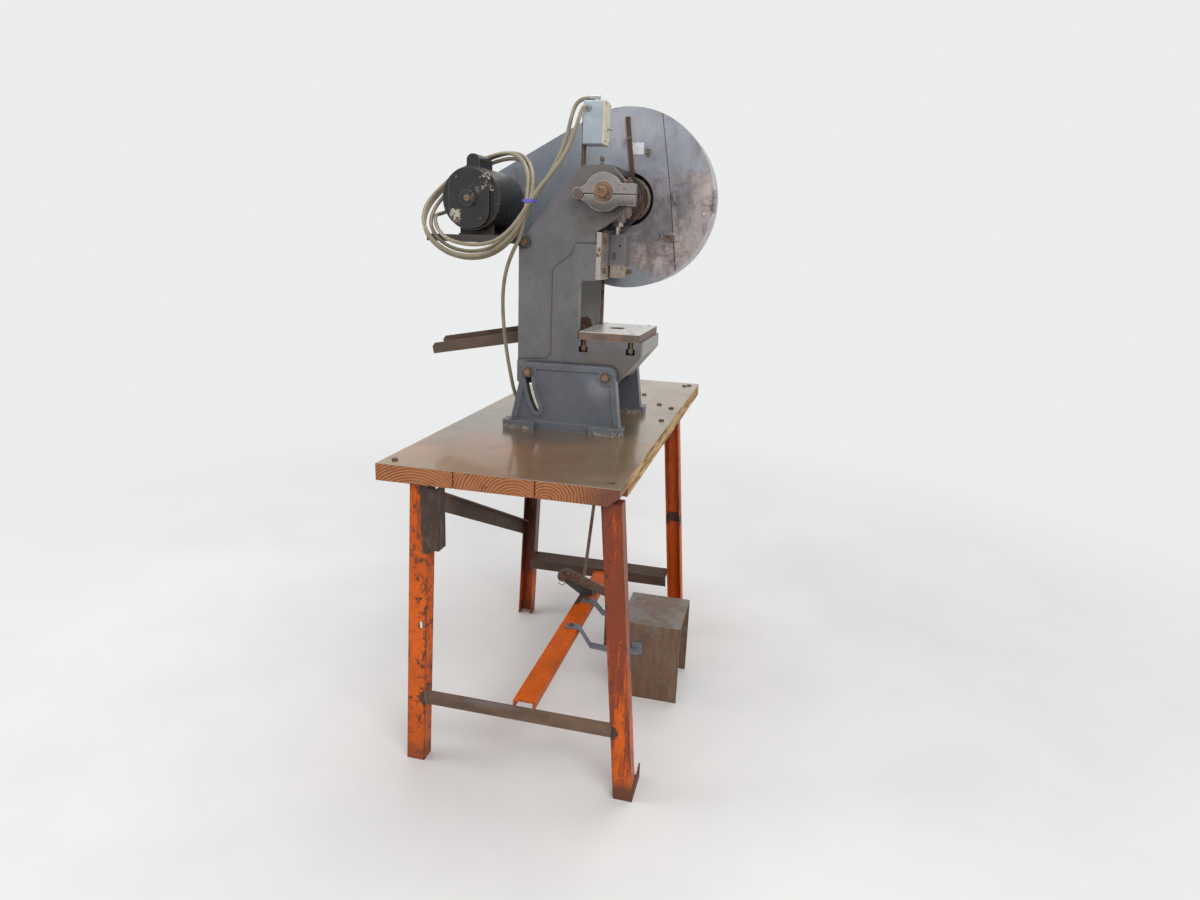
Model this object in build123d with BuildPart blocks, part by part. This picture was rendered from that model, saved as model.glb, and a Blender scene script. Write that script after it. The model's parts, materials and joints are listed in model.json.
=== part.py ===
from build123d import *
import math
import os

os.makedirs("parts", exist_ok=True)

# Bench punch press on its welded bench, in millimetres.
# Places are measured from the rear left corner of the bench top: x forwards to the operator,
# y to the right and z up from the top sheet. The origin is on the floor under the middle of it all.

# Fits: pieces bolted or pressed together, pieces that move past each other, and running bearings
seat = 0.02
apart = 0.3
running = 0.05

# Bench top
bench_length = 1324.0
plank_width = 184.0
plank_gap = 3.0
plank_count = 3
plank_thickness = 38.0
plank_chip = 26.0
bench_sheet = 1.5
sheet_inset = 1.0
bench_height = 762.0
bench_bolt_r = 4.5
bench_bolt_head_r = 8.0
bench_bolt_head = 4.0
far_bolt_inset = 52.0
near_bolt_inset = 70.0

# Bench legs and bars
leg_width = 45.0
leg_depth = 38.0
leg_wall = 3.5
leg_cap = 4.0
leg_left_y = 20.0
leg_right_y = 871.0
rear_leg_top = 73.0
rear_leg_foot = 44.0
front_leg_top = 513.0
front_leg_foot = 569.0
leg_slot_height = 369.0
leg_slot_length = 20.0
leg_slot_width = 8.0
foot_length = 92.0
foot_plate = 4.0
foot_lip = 30.0
bar_wall = 4.0
bar_inset = 2.0
left_bar_top = -566.0
left_bar_height = 36.0
left_bar_depth = 36.0
right_bar_top = -541.0
right_bar_height = 32.0
right_bar_depth = 72.0
middle_bar_x = 318.0
middle_bar_width = 52.0
middle_bar_top = -550.0
middle_bar_depth = 24.0
brace_height = 48.0
brace_flange = 26.0
brace_left_top = -61.0
brace_right_top = -420.0
gusset_reach = 22.0
gusset_top = -52.0
gusset_bottom = -201.0

# Press stand: two side castings with an arc slot for the tilt
press_y = 600.0
frame_width = 260.0
stand_plate = 27.0
stand_foot = 18.0
stand_foot_height = 22.0
stand_rear_foot = 137.0
stand_front_foot = 465.0
stand_foot_pad = 88.0
stand_top = 178.0
stand_rim = 14.0
stand_panel_depth = 5.0
pivot_x = 414.0
pivot_z = 153.0
pivot_boss_r = 26.0
tilt_bolt_r = 8.0
tilt_washer_r = 15.0
tilt_washer = 3.0
tilt_head_r = 13.0
tilt_head = 9.0
tilt_radius = 211.0
slot_run = 28.0
slot_spare = 1.0
slot_width = 17.0

# Frame casting
web = 25.0
pad_lift = 6.0
rear_x = 162.0
throat_x = 328.0
throat_top = 394.0
bed_top = 243.0
bed_flange = 17.0
bed_front = 498.0
bed_nose = 36.0
bed_rear = 300.0
bed_hole_r = 32.0
face_x = 371.0
face_top = 516.0
shoulder_z = 478.0
frame_foot = 118.0
rear_wall = 18.0
rear_wall_top = 217.0
rear_window_top = 430.0
crown_wall = 15.0
guide_wall = 25.0

# Crankshaft, its bushes and the brake
crank_x = 392.0
crank_z = 608.0
throw = 12.7
journal_r = 20.0
pin_r = 22.0
pin_length = 64.0
cheek_r = 40.0
cheek = 22.0
bush_wall = 6.0
boss_r = 44.0
boss_lift = 4.0
boss_depth = 25.0
brake_gap = 10.0
brake_width = 28.0
brake_drum_wall = 5.0
brake_outer_r = 46.0
brake_hinge_reach = 64.0
brake_hinge_drop = 4.0
brake_split = 3.0
brake_eye_r = 14.0
brake_pin_r = 7.0
brake_pin_head_r = 11.0
brake_ear_reach = 79.0
brake_ear_top = 21.0
brake_ear_bottom = -31.0
brake_bolt_r = 5.0
brake_bolt_reach = 62.0
brake_nut_r = 9.0
shaft_nose_r = 13.0
shaft_nose = 12.0

# Ram, gibs and connecting rod
ram_width = 70.0
ram_front = 424.0
ram_bottom = 431.0
ram_top = 510.0
flange_width = 120.0
flange_top = 520.0
flange_bottom = 404.0
flange_rear = 342.0
gib_thickness = 12.0
gib_gap = 7.0
gib_top = 514.0
gib_bottom = 397.0
gib_bolt_r = 5.0
gib_head_r = 8.0
gib_head = 6.0
shank_x = 404.0
shank_r = 12.7
shank_depth = 15.0
clamp_height = 31.0
clamp_length = 40.0
clamp_screw_r = 5.0
clamp_head = 12.0
rod_ring = 13.0
rod_width = 50.0
rod_shank_width = 36.0
rod_shank_bottom = 542.0
rod_screw_r = 10.0
rod_neck_r = 7.0
rod_screw_depth = 34.0
rod_nut_r = 17.0
rod_nut = 11.0
ball_r = 11.0
ball_z = 498.0
pocket_side = 1.3
pocket_under = 3.2

# Bolster
bolster_thickness = 21.0
bolster_rear = 330.0
bolster_front = 492.0
bolster_hole_r = 22.0
tapped_r = 5.5
tapped_x = 100.0
tapped_inset = 65.0
bolster_bolt_r = 6.0
bolster_nut_r = 10.0
bolster_nut = 9.0
bolster_bolt_rear = 344.0
bolster_bolt_front = 470.0
bolster_bolt_inset = 10.0

# Clutch, flywheel, belt and motor
clutch_r = 60.0
clutch_gap = 5.0
clutch_width = 28.0
clutch_notch = 12.0
flywheel_r = 205.0
flywheel_gap = 42.0
flywheel_width = 75.0
flywheel_rim = 35.0
flywheel_web = 14.0
hub_r = 48.0
hub_gap = 36.0
hub_length = 92.0
window_r = 34.0
window_circle = 109.0
window_count = 5
shaft_collar_r = 30.0
shaft_collar = 8.0
belt_inset = 34.0
belt_width = 9.0
belt_height = 8.0
belt_sink = 7.0
groove_depth = 13.0
groove_mouth = 15.0
groove_floor = 9.0
motor_x = 24.0
motor_z = 588.0
motor_r = 80.0
shell_start = 503.0
shell_end = 675.0
terminal_angle = 200.0
terminal_y = 540.0
terminal_reach = 14.0
bell_width = 113.0
bell_height = 150.0
bell_corner = 46.0
bell_face = 16.0
bell_flange = 13.0
motor_hub_r = 20.0
motor_hub = 12.0
rotor_r = 8.0
pulley_r = 43.0
pulley_width = 26.0
pulley_hub_r = 18.0
pulley_hub = 14.0

# Motor shelf and cradle
shelf_top = 496.0
shelf_sheet = 5.0
shelf_lip = 18.0
shelf_rear = -92.0
shelf_front = 157.0
shelf_ear = 192.0
shelf_bolt_x = 179.0
shelf_bolt_z = 484.0
cradle_sheet = 4.0
cradle_width = 96.0
cradle_height = 30.0
capacitor_width = 36.0
capacitor_start = 505.0
capacitor_length = 90.0
capacitor_top = 700.0
capacitor_corner = 16.0

# Flywheel guard
guard_x = 384.0
guard_r = 242.0
guard_nose_r = 88.0
guard_gap = 15.0
guard_depth = 130.0
guard_sheet = 3.0
guard_hole_x = 388.0
guard_hole_r = 72.0
guard_back_hole_r = 40.0
motor_hole_r = 24.0
seam_top_x = 468.0
seam_middle_x = 506.0
seam_bottom_x = 540.0
seam_middle_z = 628.0
seam_gap = 1.5
knuckle_r = 5.0
knuckle_length = 20.0
hinge_pin_r = 2.5
hasp_x = 492.0
hasp_length = 58.0
hasp_height = 26.0
hasp_z = 512.0
staple_width = 5.0
staple_height = 16.0
strap_width = 12.0
strap_thickness = 5.0
strap_top_x = 378.0
strap_top_z = 823.0
strap_foot_x = 397.0

# Switch box
box_x = 310.0
box_depth = 50.0
box_width = 54.0
box_left = 530.0
box_bottom = 727.0
box_height = 104.0
box_wall = 2.0
cover_thickness = 7.0
bracket_bar = 6.0
bracket_width = 26.0
toggle_z = 766.0
toggle_ball_r = 5.0
toggle_r = 3.0
toggle_length = 17.0
gland_r = 9.0
gland_length = 18.0
elbow_r = 7.0
elbow_height = 8.0

# Chute
chute_rear = -124.0
chute_front = 326.0
chute_left = 560.0
chute_width = 80.0
chute_side = 30.0
chute_far_side = 42.0
chute_sheet = 3.0
chute_chamfer = 9.0

# Treadle, pedal guard and trip
treadle_x = 266.0
treadle_z = -495.0
treadle_y = 600.0
treadle_bar = 6.0
treadle_hub_r = 16.0
treadle_hub = 11.0
treadle_pin_r = 8.0
treadle_pin_head_r = 12.0
treadle_pin_head = 5.0
treadle_drop_x = 403.0
bracket_plate = 8.0
bracket_foot = 40.0
pedal_z = -684.0
pedal_x = 560.0
pedal_length = 72.0
pedal_left = 505.0
pedal_guard_rear = 480.0
pedal_guard_front = 652.0
pedal_guard_left = 447.0
pedal_guard_right = 640.0
pedal_guard_height = 232.0
pedal_guard_sheet = 3.0
arm_width = 25.0
arm_thickness = 5.0
arm_bolt_x = 351.0
near_arm_y = 405.0
near_arm_end_x = 541.0
near_arm_drop = 54.0
far_arm_y = 572.0
far_arm_drop = 32.0
arm_tab_length = 28.0
arm_tab_height = 34.0
trip_rod_r = 5.0
trip_rod_x = 340.0
trip_rod_inset = 50.0
trip_rod_bend = -250.0
trip_rod_end = -483.3
trip_shaft_x = 300.0
trip_shaft_z = 540.0
trip_shaft_r = 7.0
trip_hub_r = 13.0
trip_arm = 8.0
trip_arm_height = 12.0
trip_spring_r = 6.0
trip_spring_wire = 1.5
trip_spring_turns = 8
trip_peg_r = 3.0
trip_peg_z = 606.0

# Cords
cord_r = 5.0
coil_r = 11.0
plug_r = 16.0
plug_length = 46.0
plug_x = 334.0
plug_y = 560.0

# Sizes that follow from the ones above
bench_width = plank_count * plank_width + (plank_count - 1) * plank_gap
chute_angle = math.atan2(bed_top - rear_wall_top, bed_rear - rear_x)
chute_tip = chute_rear - (chute_far_side - chute_chamfer) * math.sin(chute_angle)
machine_middle = (pedal_guard_front + chute_tip) / 2
bench_rear = -machine_middle
bench_left = -bench_length / 2
top_under = -bench_sheet - plank_thickness
floor = -bench_height
left_face = press_y - frame_width / 2
right_face = press_y + frame_width / 2
stand_inner = left_face - apart
stand_outer = stand_inner - stand_plate
stand_toe = stand_outer - stand_foot
bush_r = journal_r + running + bush_wall
brake_far = left_face - brake_gap
brake_near = brake_far - brake_width
clutch_start = right_face + clutch_gap
hub_start = right_face + hub_gap
flywheel_start = right_face + flywheel_gap
belt_y = flywheel_start + belt_inset
guard_face_y = right_face + guard_gap
gib_width = (frame_width - ram_width) / 2 - gib_gap
bolster_length = frame_width
tapped_y = bolster_length - 2 * tapped_inset
trip_rod_y = right_face - trip_rod_inset
drum_r = journal_r + brake_drum_wall
pin_z = crank_z + throw
guard_back_y = guard_face_y + guard_depth
door_hinge_x = guard_x + guard_r + 4
door_hinge_y = guard_face_y - knuckle_r + 1


def place(x, y, z):
    return (bench_rear + x, bench_left + y, bench_height + z)


def level(z):
    """A level plane at height z, with local x and y as measured."""
    return Plane(origin=place(0, 0, z))


def side(y):
    """An upright plane at y that faces left: local x forwards, local y up."""
    return Plane(origin=place(0, y, 0), x_dir=(1, 0, 0), z_dir=(0, -1, 0))


def front(x):
    """An upright plane at x that faces forwards: local x to the right, local y up."""
    return Plane(origin=place(x, 0, 0), x_dir=(0, 1, 0), z_dir=(1, 0, 0))


def radial(x, z):
    """The plane of a turned profile: local x to the right, local y the radius about (x, z)."""
    return Plane(origin=place(x, 0, z), x_dir=(0, 1, 0), z_dir=(1, 0, 0))


def turned(x, z):
    return Axis(place(x, 0, z), (0, 1, 0))


middle_plane = Plane(origin=place(0, press_y, 0), x_dir=(1, 0, 0), z_dir=(0, 1, 0))

# Bolts through the bench top and through the toes of the stand
top_bolts = [
    (28, 38),
    (530, 40),
    (530, 670),
    (530, 851),
    (486, 892),
    (410, 1035),
    (515, bench_length - near_bolt_inset),
    (530, bench_length - far_bolt_inset),
]
stand_bolts = []
for toe_x in (stand_rear_foot + 24, stand_front_foot - 24):
    stand_bolts.append((toe_x, stand_outer - stand_foot / 2))
    stand_bolts.append((toe_x, 2 * press_y - stand_outer + stand_foot / 2))

# The slot in the bench top that the trip rod swings through as the frame leans back
rod_slot_rear = trip_rod_x - 2 * trip_rod_r
rod_slot_front = trip_rod_x + 92
rod_slot_width = 4 * trip_rod_r

# Bench planks
with BuildPart() as bench_planks:
    with BuildSketch(level(-bench_sheet)):
        for index in range(plank_count):
            with Locations((plank_width / 2 + index * (plank_width + plank_gap), bench_length / 2)):
                Rectangle(plank_width, bench_length)
        with Locations(*top_bolts, *stand_bolts):
            Circle(bench_bolt_r + seat, mode=Mode.SUBTRACT)
        with Locations(((rod_slot_rear + rod_slot_front) / 2, trip_rod_y)):
            SlotOverall(rod_slot_front - rod_slot_rear, rod_slot_width, mode=Mode.SUBTRACT)
    extrude(amount=-plank_thickness)
    with BuildSketch(side(plank_chip * 3)):
        Polygon(
            (bench_width - plank_chip, top_under),
            (bench_width, top_under),
            (bench_width, top_under + plank_chip * 0.8),
            align=None,
        )
    extrude(amount=plank_chip * 3, mode=Mode.SUBTRACT)
bench_planks.part.label = "bench_planks"
export_step(bench_planks.part, "parts/bench_planks.step")

# Steel sheet over the planks
with BuildPart() as bench_plate:
    with BuildSketch(level(-bench_sheet)):
        with Locations((bench_width / 2, bench_length / 2)):
            RectangleRounded(bench_width - 2 * sheet_inset, bench_length - 2 * sheet_inset, 5)
        with Locations(*top_bolts, *stand_bolts):
            Circle(bench_bolt_r + seat, mode=Mode.SUBTRACT)
        with Locations(((rod_slot_rear + rod_slot_front) / 2, trip_rod_y)):
            SlotOverall(rod_slot_front - rod_slot_rear, rod_slot_width, mode=Mode.SUBTRACT)
    extrude(amount=bench_sheet)
bench_plate.part.label = "bench_plate"
export_step(bench_plate.part, "parts/bench_plate.step")


def leg_offset(z, top, foot):
    share = (top_under - z) / (top_under - floor)
    return top + (foot - top) * share


def channel_points(x, y, inwards):
    wall = leg_wall * inwards
    depth = leg_depth * inwards
    return [
        (x, y),
        (x + leg_width, y),
        (x + leg_width, y + depth),
        (x + leg_width - leg_wall, y + depth),
        (x + leg_width - leg_wall, y + wall),
        (x + leg_wall, y + wall),
        (x + leg_wall, y + depth),
        (x, y + depth),
    ]


# Four leaning channel legs with caps under the planks, a gusset angle and a foot bracket
leg_places = [
    (rear_leg_top, rear_leg_foot, leg_left_y, 1),
    (rear_leg_top, rear_leg_foot, leg_right_y, -1),
    (front_leg_top, front_leg_foot, leg_left_y, 1),
    (front_leg_top, front_leg_foot, leg_right_y, -1),
]
slot_z = floor + leg_slot_height
slot_x = leg_offset(slot_z, rear_leg_top, rear_leg_foot) + leg_width * 0.7
gusset_x = leg_offset(gusset_top, rear_leg_top, rear_leg_foot) + leg_width
gusset_low_x = leg_offset(gusset_bottom, rear_leg_top, rear_leg_foot) + leg_width
with BuildPart() as bench_legs:
    for leg_top, leg_foot, leg_y, inwards in leg_places:
        cap_x = leg_offset(top_under - leg_cap, leg_top, leg_foot)
        with BuildSketch(level(floor)):
            Polygon(*channel_points(leg_foot, leg_y, inwards), align=None)
        with BuildSketch(level(top_under - leg_cap)):
            Polygon(*channel_points(cap_x, leg_y, inwards), align=None)
        loft(ruled=True)
        with BuildSketch(level(top_under)):
            with Locations((cap_x + leg_width / 2, leg_y + inwards * leg_depth / 2)):
                Rectangle(leg_width, leg_depth)
        extrude(amount=-leg_cap)
    with BuildSketch(level(top_under)):
        with Locations(*top_bolts):
            Circle(bench_bolt_r + seat)
    extrude(amount=-leg_cap, mode=Mode.SUBTRACT)
    with BuildSketch(side(leg_left_y + leg_wall)):
        with Locations((slot_x, slot_z)):
            SlotOverall(leg_slot_length, leg_slot_width, rotation=90)
    extrude(amount=leg_wall, mode=Mode.SUBTRACT)
    with BuildSketch(side(leg_left_y + leg_wall)):
        Polygon(
            (gusset_x - bar_wall / 2, gusset_top),
            (gusset_x + gusset_reach, gusset_top),
            (gusset_x + gusset_reach, gusset_bottom),
            (gusset_low_x - bar_wall / 2, gusset_bottom),
            align=None,
        )
    extrude(amount=leg_wall)
    with BuildSketch(side(leg_left_y + leg_depth)):
        with Locations((gusset_x + gusset_reach - bar_wall / 2, (gusset_top + gusset_bottom) / 2)):
            Rectangle(bar_wall, gusset_top - gusset_bottom)
    extrude(amount=leg_depth)
    with BuildSketch(level(floor)):
        with Locations((front_leg_foot + leg_width / 2, leg_left_y + foot_length / 2)):
            Rectangle(leg_width, foot_length)
    extrude(amount=foot_plate)
    with BuildSketch(front(front_leg_foot + leg_width - foot_plate)):
        Polygon(
            (leg_left_y, floor),
            (leg_left_y + foot_length, floor),
            (leg_left_y + foot_length, floor + foot_lip * 1.3),
            (leg_left_y + foot_length * 0.8, floor + foot_lip * 0.9),
            (leg_left_y + foot_length * 0.6, floor + foot_lip),
            (leg_left_y, floor + foot_lip * 0.8),
            align=None,
        )
    extrude(amount=foot_plate)
bench_legs.part.label = "bench_legs"
export_step(bench_legs.part, "parts/bench_legs.step")


def bar_outline(top, bottom):
    """A bar between a rear and a front leg, its ends cut to the lean of the legs."""
    rear_high = leg_offset(top, rear_leg_top, rear_leg_foot) + leg_width
    rear_low = leg_offset(bottom, rear_leg_top, rear_leg_foot) + leg_width
    front_high = leg_offset(top, front_leg_top, front_leg_foot)
    front_low = leg_offset(bottom, front_leg_top, front_leg_foot)
    return [(rear_high, top), (front_high, top), (front_low, bottom), (rear_low, bottom)]


# Angle bar between the left legs, its ledge at the bottom
left_bar_bottom = left_bar_top - left_bar_height
with BuildPart() as stretcher_left:
    with BuildSketch(side(leg_left_y + bar_inset + left_bar_depth)):
        Polygon(*bar_outline(left_bar_bottom + bar_wall, left_bar_bottom), align=None)
    extrude(amount=left_bar_depth)
    with BuildSketch(side(leg_left_y + bar_inset + bar_wall)):
        Polygon(*bar_outline(left_bar_top, left_bar_bottom), align=None)
    extrude(amount=bar_wall)
stretcher_left.part.label = "stretcher_left"
export_step(stretcher_left.part, "parts/stretcher_left.step")

# Angle bar between the right legs, its ledge on top
right_bar_near = leg_right_y - bar_inset - right_bar_depth
with BuildPart() as stretcher_right:
    with BuildSketch(side(leg_right_y - bar_inset)):
        Polygon(*bar_outline(right_bar_top, right_bar_top - bar_wall), align=None)
    extrude(amount=right_bar_depth)
    with BuildSketch(side(right_bar_near + bar_wall)):
        Polygon(*bar_outline(right_bar_top, right_bar_top - right_bar_height), align=None)
    extrude(amount=bar_wall)
stretcher_right.part.label = "stretcher_right"
export_step(stretcher_right.part, "parts/stretcher_right.step")

# Channel from the left bar to the right bar, web upwards
middle_bar_start = leg_left_y + bar_inset + bar_wall
middle_bar_axis = middle_bar_x + middle_bar_width / 2
arm_bolts = [(arm_bolt_x, near_arm_y), (arm_bolt_x, far_arm_y)]
with BuildPart() as stretcher_middle:
    with BuildSketch(side(right_bar_near)):
        with Locations((middle_bar_axis, middle_bar_top - middle_bar_depth / 2)):
            Rectangle(middle_bar_width, middle_bar_depth)
        with Locations((middle_bar_axis, middle_bar_top - middle_bar_depth / 2 - bar_wall)):
            Rectangle(middle_bar_width - 2 * leg_wall, middle_bar_depth, mode=Mode.SUBTRACT)
    extrude(amount=right_bar_near - middle_bar_start)
    fillet(stretcher_middle.edges().filter_by(Axis.Y).group_by(Axis.Z)[-1], 3)
    with BuildSketch(level(middle_bar_top)):
        with Locations(*arm_bolts):
            Circle(bench_bolt_r + seat)
    extrude(amount=-bar_wall, mode=Mode.SUBTRACT)
stretcher_middle.part.label = "stretcher_middle"
export_step(stretcher_middle.part, "parts/stretcher_middle.step")


def angle_points(x, top):
    return [
        (x, top),
        (x, top - brace_height),
        (x + bar_wall, top - brace_height),
        (x + bar_wall, top - bar_wall),
        (x + brace_flange, top - bar_wall),
        (x + brace_flange, top),
    ]


# Sloping angle brace between the rear legs
brace_ends = [(leg_left_y + leg_depth, brace_left_top), (leg_right_y - leg_depth, brace_right_top)]
with BuildPart() as brace_rear:
    for brace_y, brace_top in brace_ends:
        with BuildSketch(side(brace_y)):
            Polygon(*angle_points(leg_offset(brace_top, rear_leg_top, rear_leg_foot), brace_top), align=None)
    loft(ruled=True)
brace_rear.part.label = "brace_rear"
export_step(brace_rear.part, "parts/brace_rear.step")

# Bolts through the bench top, the toes of the stand and the arms of the pedal guard
arm_bolt_seat = middle_bar_top + arm_thickness
bolt_groups = [
    (top_bolts, 0, bench_sheet + plank_thickness + leg_cap),
    (stand_bolts, stand_foot_height, stand_foot_height + bench_sheet + plank_thickness * 0.8),
    (arm_bolts, arm_bolt_seat, arm_thickness + bar_wall + 8),
]
with BuildPart() as bench_bolts:
    for spots, bolt_seat, grip in bolt_groups:
        with BuildSketch(level(bolt_seat)):
            with Locations(*spots):
                RegularPolygon(bench_bolt_head_r, 6)
        extrude(amount=bench_bolt_head)
        with BuildSketch(level(bolt_seat)):
            with Locations(*spots):
                Circle(bench_bolt_r)
        extrude(amount=-grip)
bench_bolts.part.label = "bench_bolts"
export_step(bench_bolts.part, "parts/bench_bolts.step")

# Stand: the left side casting, and the right one as its mirror image
stand_corners = [
    (stand_rear_foot + 13, 0),
    (stand_front_foot - 4, 0),
    (stand_front_foot - 12, stand_foot_height + 10),
    (pivot_x + 22, stand_top),
    (pivot_x - tilt_radius - 14, stand_top - 2),
]
stand_radii = [0, 0, 8, 22, 10]
tilt_spots = [(pivot_x, pivot_z), (pivot_x - tilt_radius, pivot_z)]
slot_line = CenterArc(
    (pivot_x, pivot_z), tilt_radius, 180 - slot_spare, slot_run + slot_spare, mode=Mode.PRIVATE
)
with BuildPart() as base_left:
    with BuildSketch(side(stand_inner)):
        with BuildLine():
            FilletPolyline(*stand_corners, radius=stand_radii, close=True)
        make_face()
    extrude(amount=stand_plate)
    with BuildSketch(side(stand_outer)):
        with BuildLine():
            FilletPolyline(*stand_corners, radius=stand_radii, close=True)
        make_face()
        offset(amount=-stand_rim, mode=Mode.REPLACE)
        with Locations(*tilt_spots):
            Circle(pivot_boss_r - 4, mode=Mode.SUBTRACT)
        SlotArc(slot_line, 2 * slot_width, mode=Mode.SUBTRACT)
        with Locations((pivot_x, 0)):
            Rectangle(2 * pivot_x, 2 * stand_foot_height, mode=Mode.SUBTRACT)
    extrude(amount=-stand_panel_depth, mode=Mode.SUBTRACT)
    with BuildSketch(level(0)):
        with Locations(((stand_rear_foot + stand_front_foot) / 2, (stand_toe + stand_inner) / 2)):
            RectangleRounded(stand_front_foot - stand_rear_foot, stand_inner - stand_toe, 5)
        with Locations(((stand_rear_foot + stand_front_foot) / 2, stand_toe)):
            Rectangle(
                stand_front_foot - stand_rear_foot - 2 * stand_foot_pad,
                2 * (stand_foot - 4),
                mode=Mode.SUBTRACT,
            )
        with Locations(*stand_bolts):
            Circle(bench_bolt_r + seat, mode=Mode.SUBTRACT)
    extrude(amount=stand_foot_height)
    with BuildSketch(side(stand_inner)):
        with Locations(tilt_spots[0]):
            Circle(tilt_bolt_r + running)
        SlotArc(slot_line, slot_width)
    extrude(amount=stand_plate, mode=Mode.SUBTRACT)
base_left.part.label = "base_left"
export_step(base_left.part, "parts/base_left.step")

with BuildPart() as base_right:
    mirror(base_left.part, about=middle_plane)
base_right.part.label = "base_right"
export_step(base_right.part, "parts/base_right.step")

# Frame casting: two webs of one outline, joined by the bed, the walls and the slide's guide block
roof_rear = (crank_x - 101, crank_z + 30)
roof_front = (crank_x - 63, crank_z + 65)
crown = (crank_x + 7, crank_z + 68)
foot_corners = [(bed_front, bed_top - bed_nose), (pivot_x + 32, pivot_z - 10), (pivot_x + 14, frame_foot)]
frame_corners = [
    (rear_x, frame_foot),
    (rear_x, shoulder_z),
    roof_rear,
    roof_front,
    crown,
    (crank_x + 45, crank_z + 32),
    (crank_x + 48, crank_z - 33),
    (crank_x + 23, crank_z - 60),
    (face_x, face_top),
    (face_x, throat_top),
    (throat_x, throat_top),
    (throat_x, bed_top),
    (bed_front, bed_top),
    *foot_corners,
]
frame_radii = [6, 8, 20, 12, 20, 16, 12, 20, 1, 3, 10, 1.5, 2, 8, 20, 8]
band_corners = [
    (rear_x, frame_foot),
    (rear_x, stand_top),
    (throat_x - 70, stand_top + 8),
    (throat_x - 70, shoulder_z - 59),
    (throat_x - 18, shoulder_z - 20),
    (throat_x - 12, shoulder_z + 6),
    (face_x, shoulder_z + 6),
    (face_x, throat_top),
    (throat_x, throat_top),
    (throat_x, bed_top),
    (bed_front, bed_top),
    *foot_corners,
]
band_radii = [6, 2, 24, 16, 16, 3, 2, 3, 10, 1.5, 2, 8, 20, 8]
brake_hinge_x = crank_x - brake_hinge_reach
brake_hinge_z = crank_z - brake_hinge_drop
guide_rear = flange_rear - apart - guide_wall
inner_width = frame_width - 2 * web
cheek_width = (inner_width - flange_width) / 2 - apart
boss_length = boss_depth + web + boss_lift
boss_starts = (left_face - boss_lift + boss_length, right_face + boss_lift)
trip_hole_r = trip_rod_r + 4 * apart
bolster_bolts = []
for bolt_x in (bolster_bolt_rear, bolster_bolt_front):
    for across in (-1, 1):
        bolster_bolts.append((bolt_x, press_y + across * (bolster_length / 2 - bolster_bolt_inset)))
gib_bolts = []
for across in (-1, 1):
    for gib_z in (gib_top - 20, gib_bottom + 22):
        gib_bolts.append((press_y + across * (frame_width / 2 - 36), gib_z))
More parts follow.
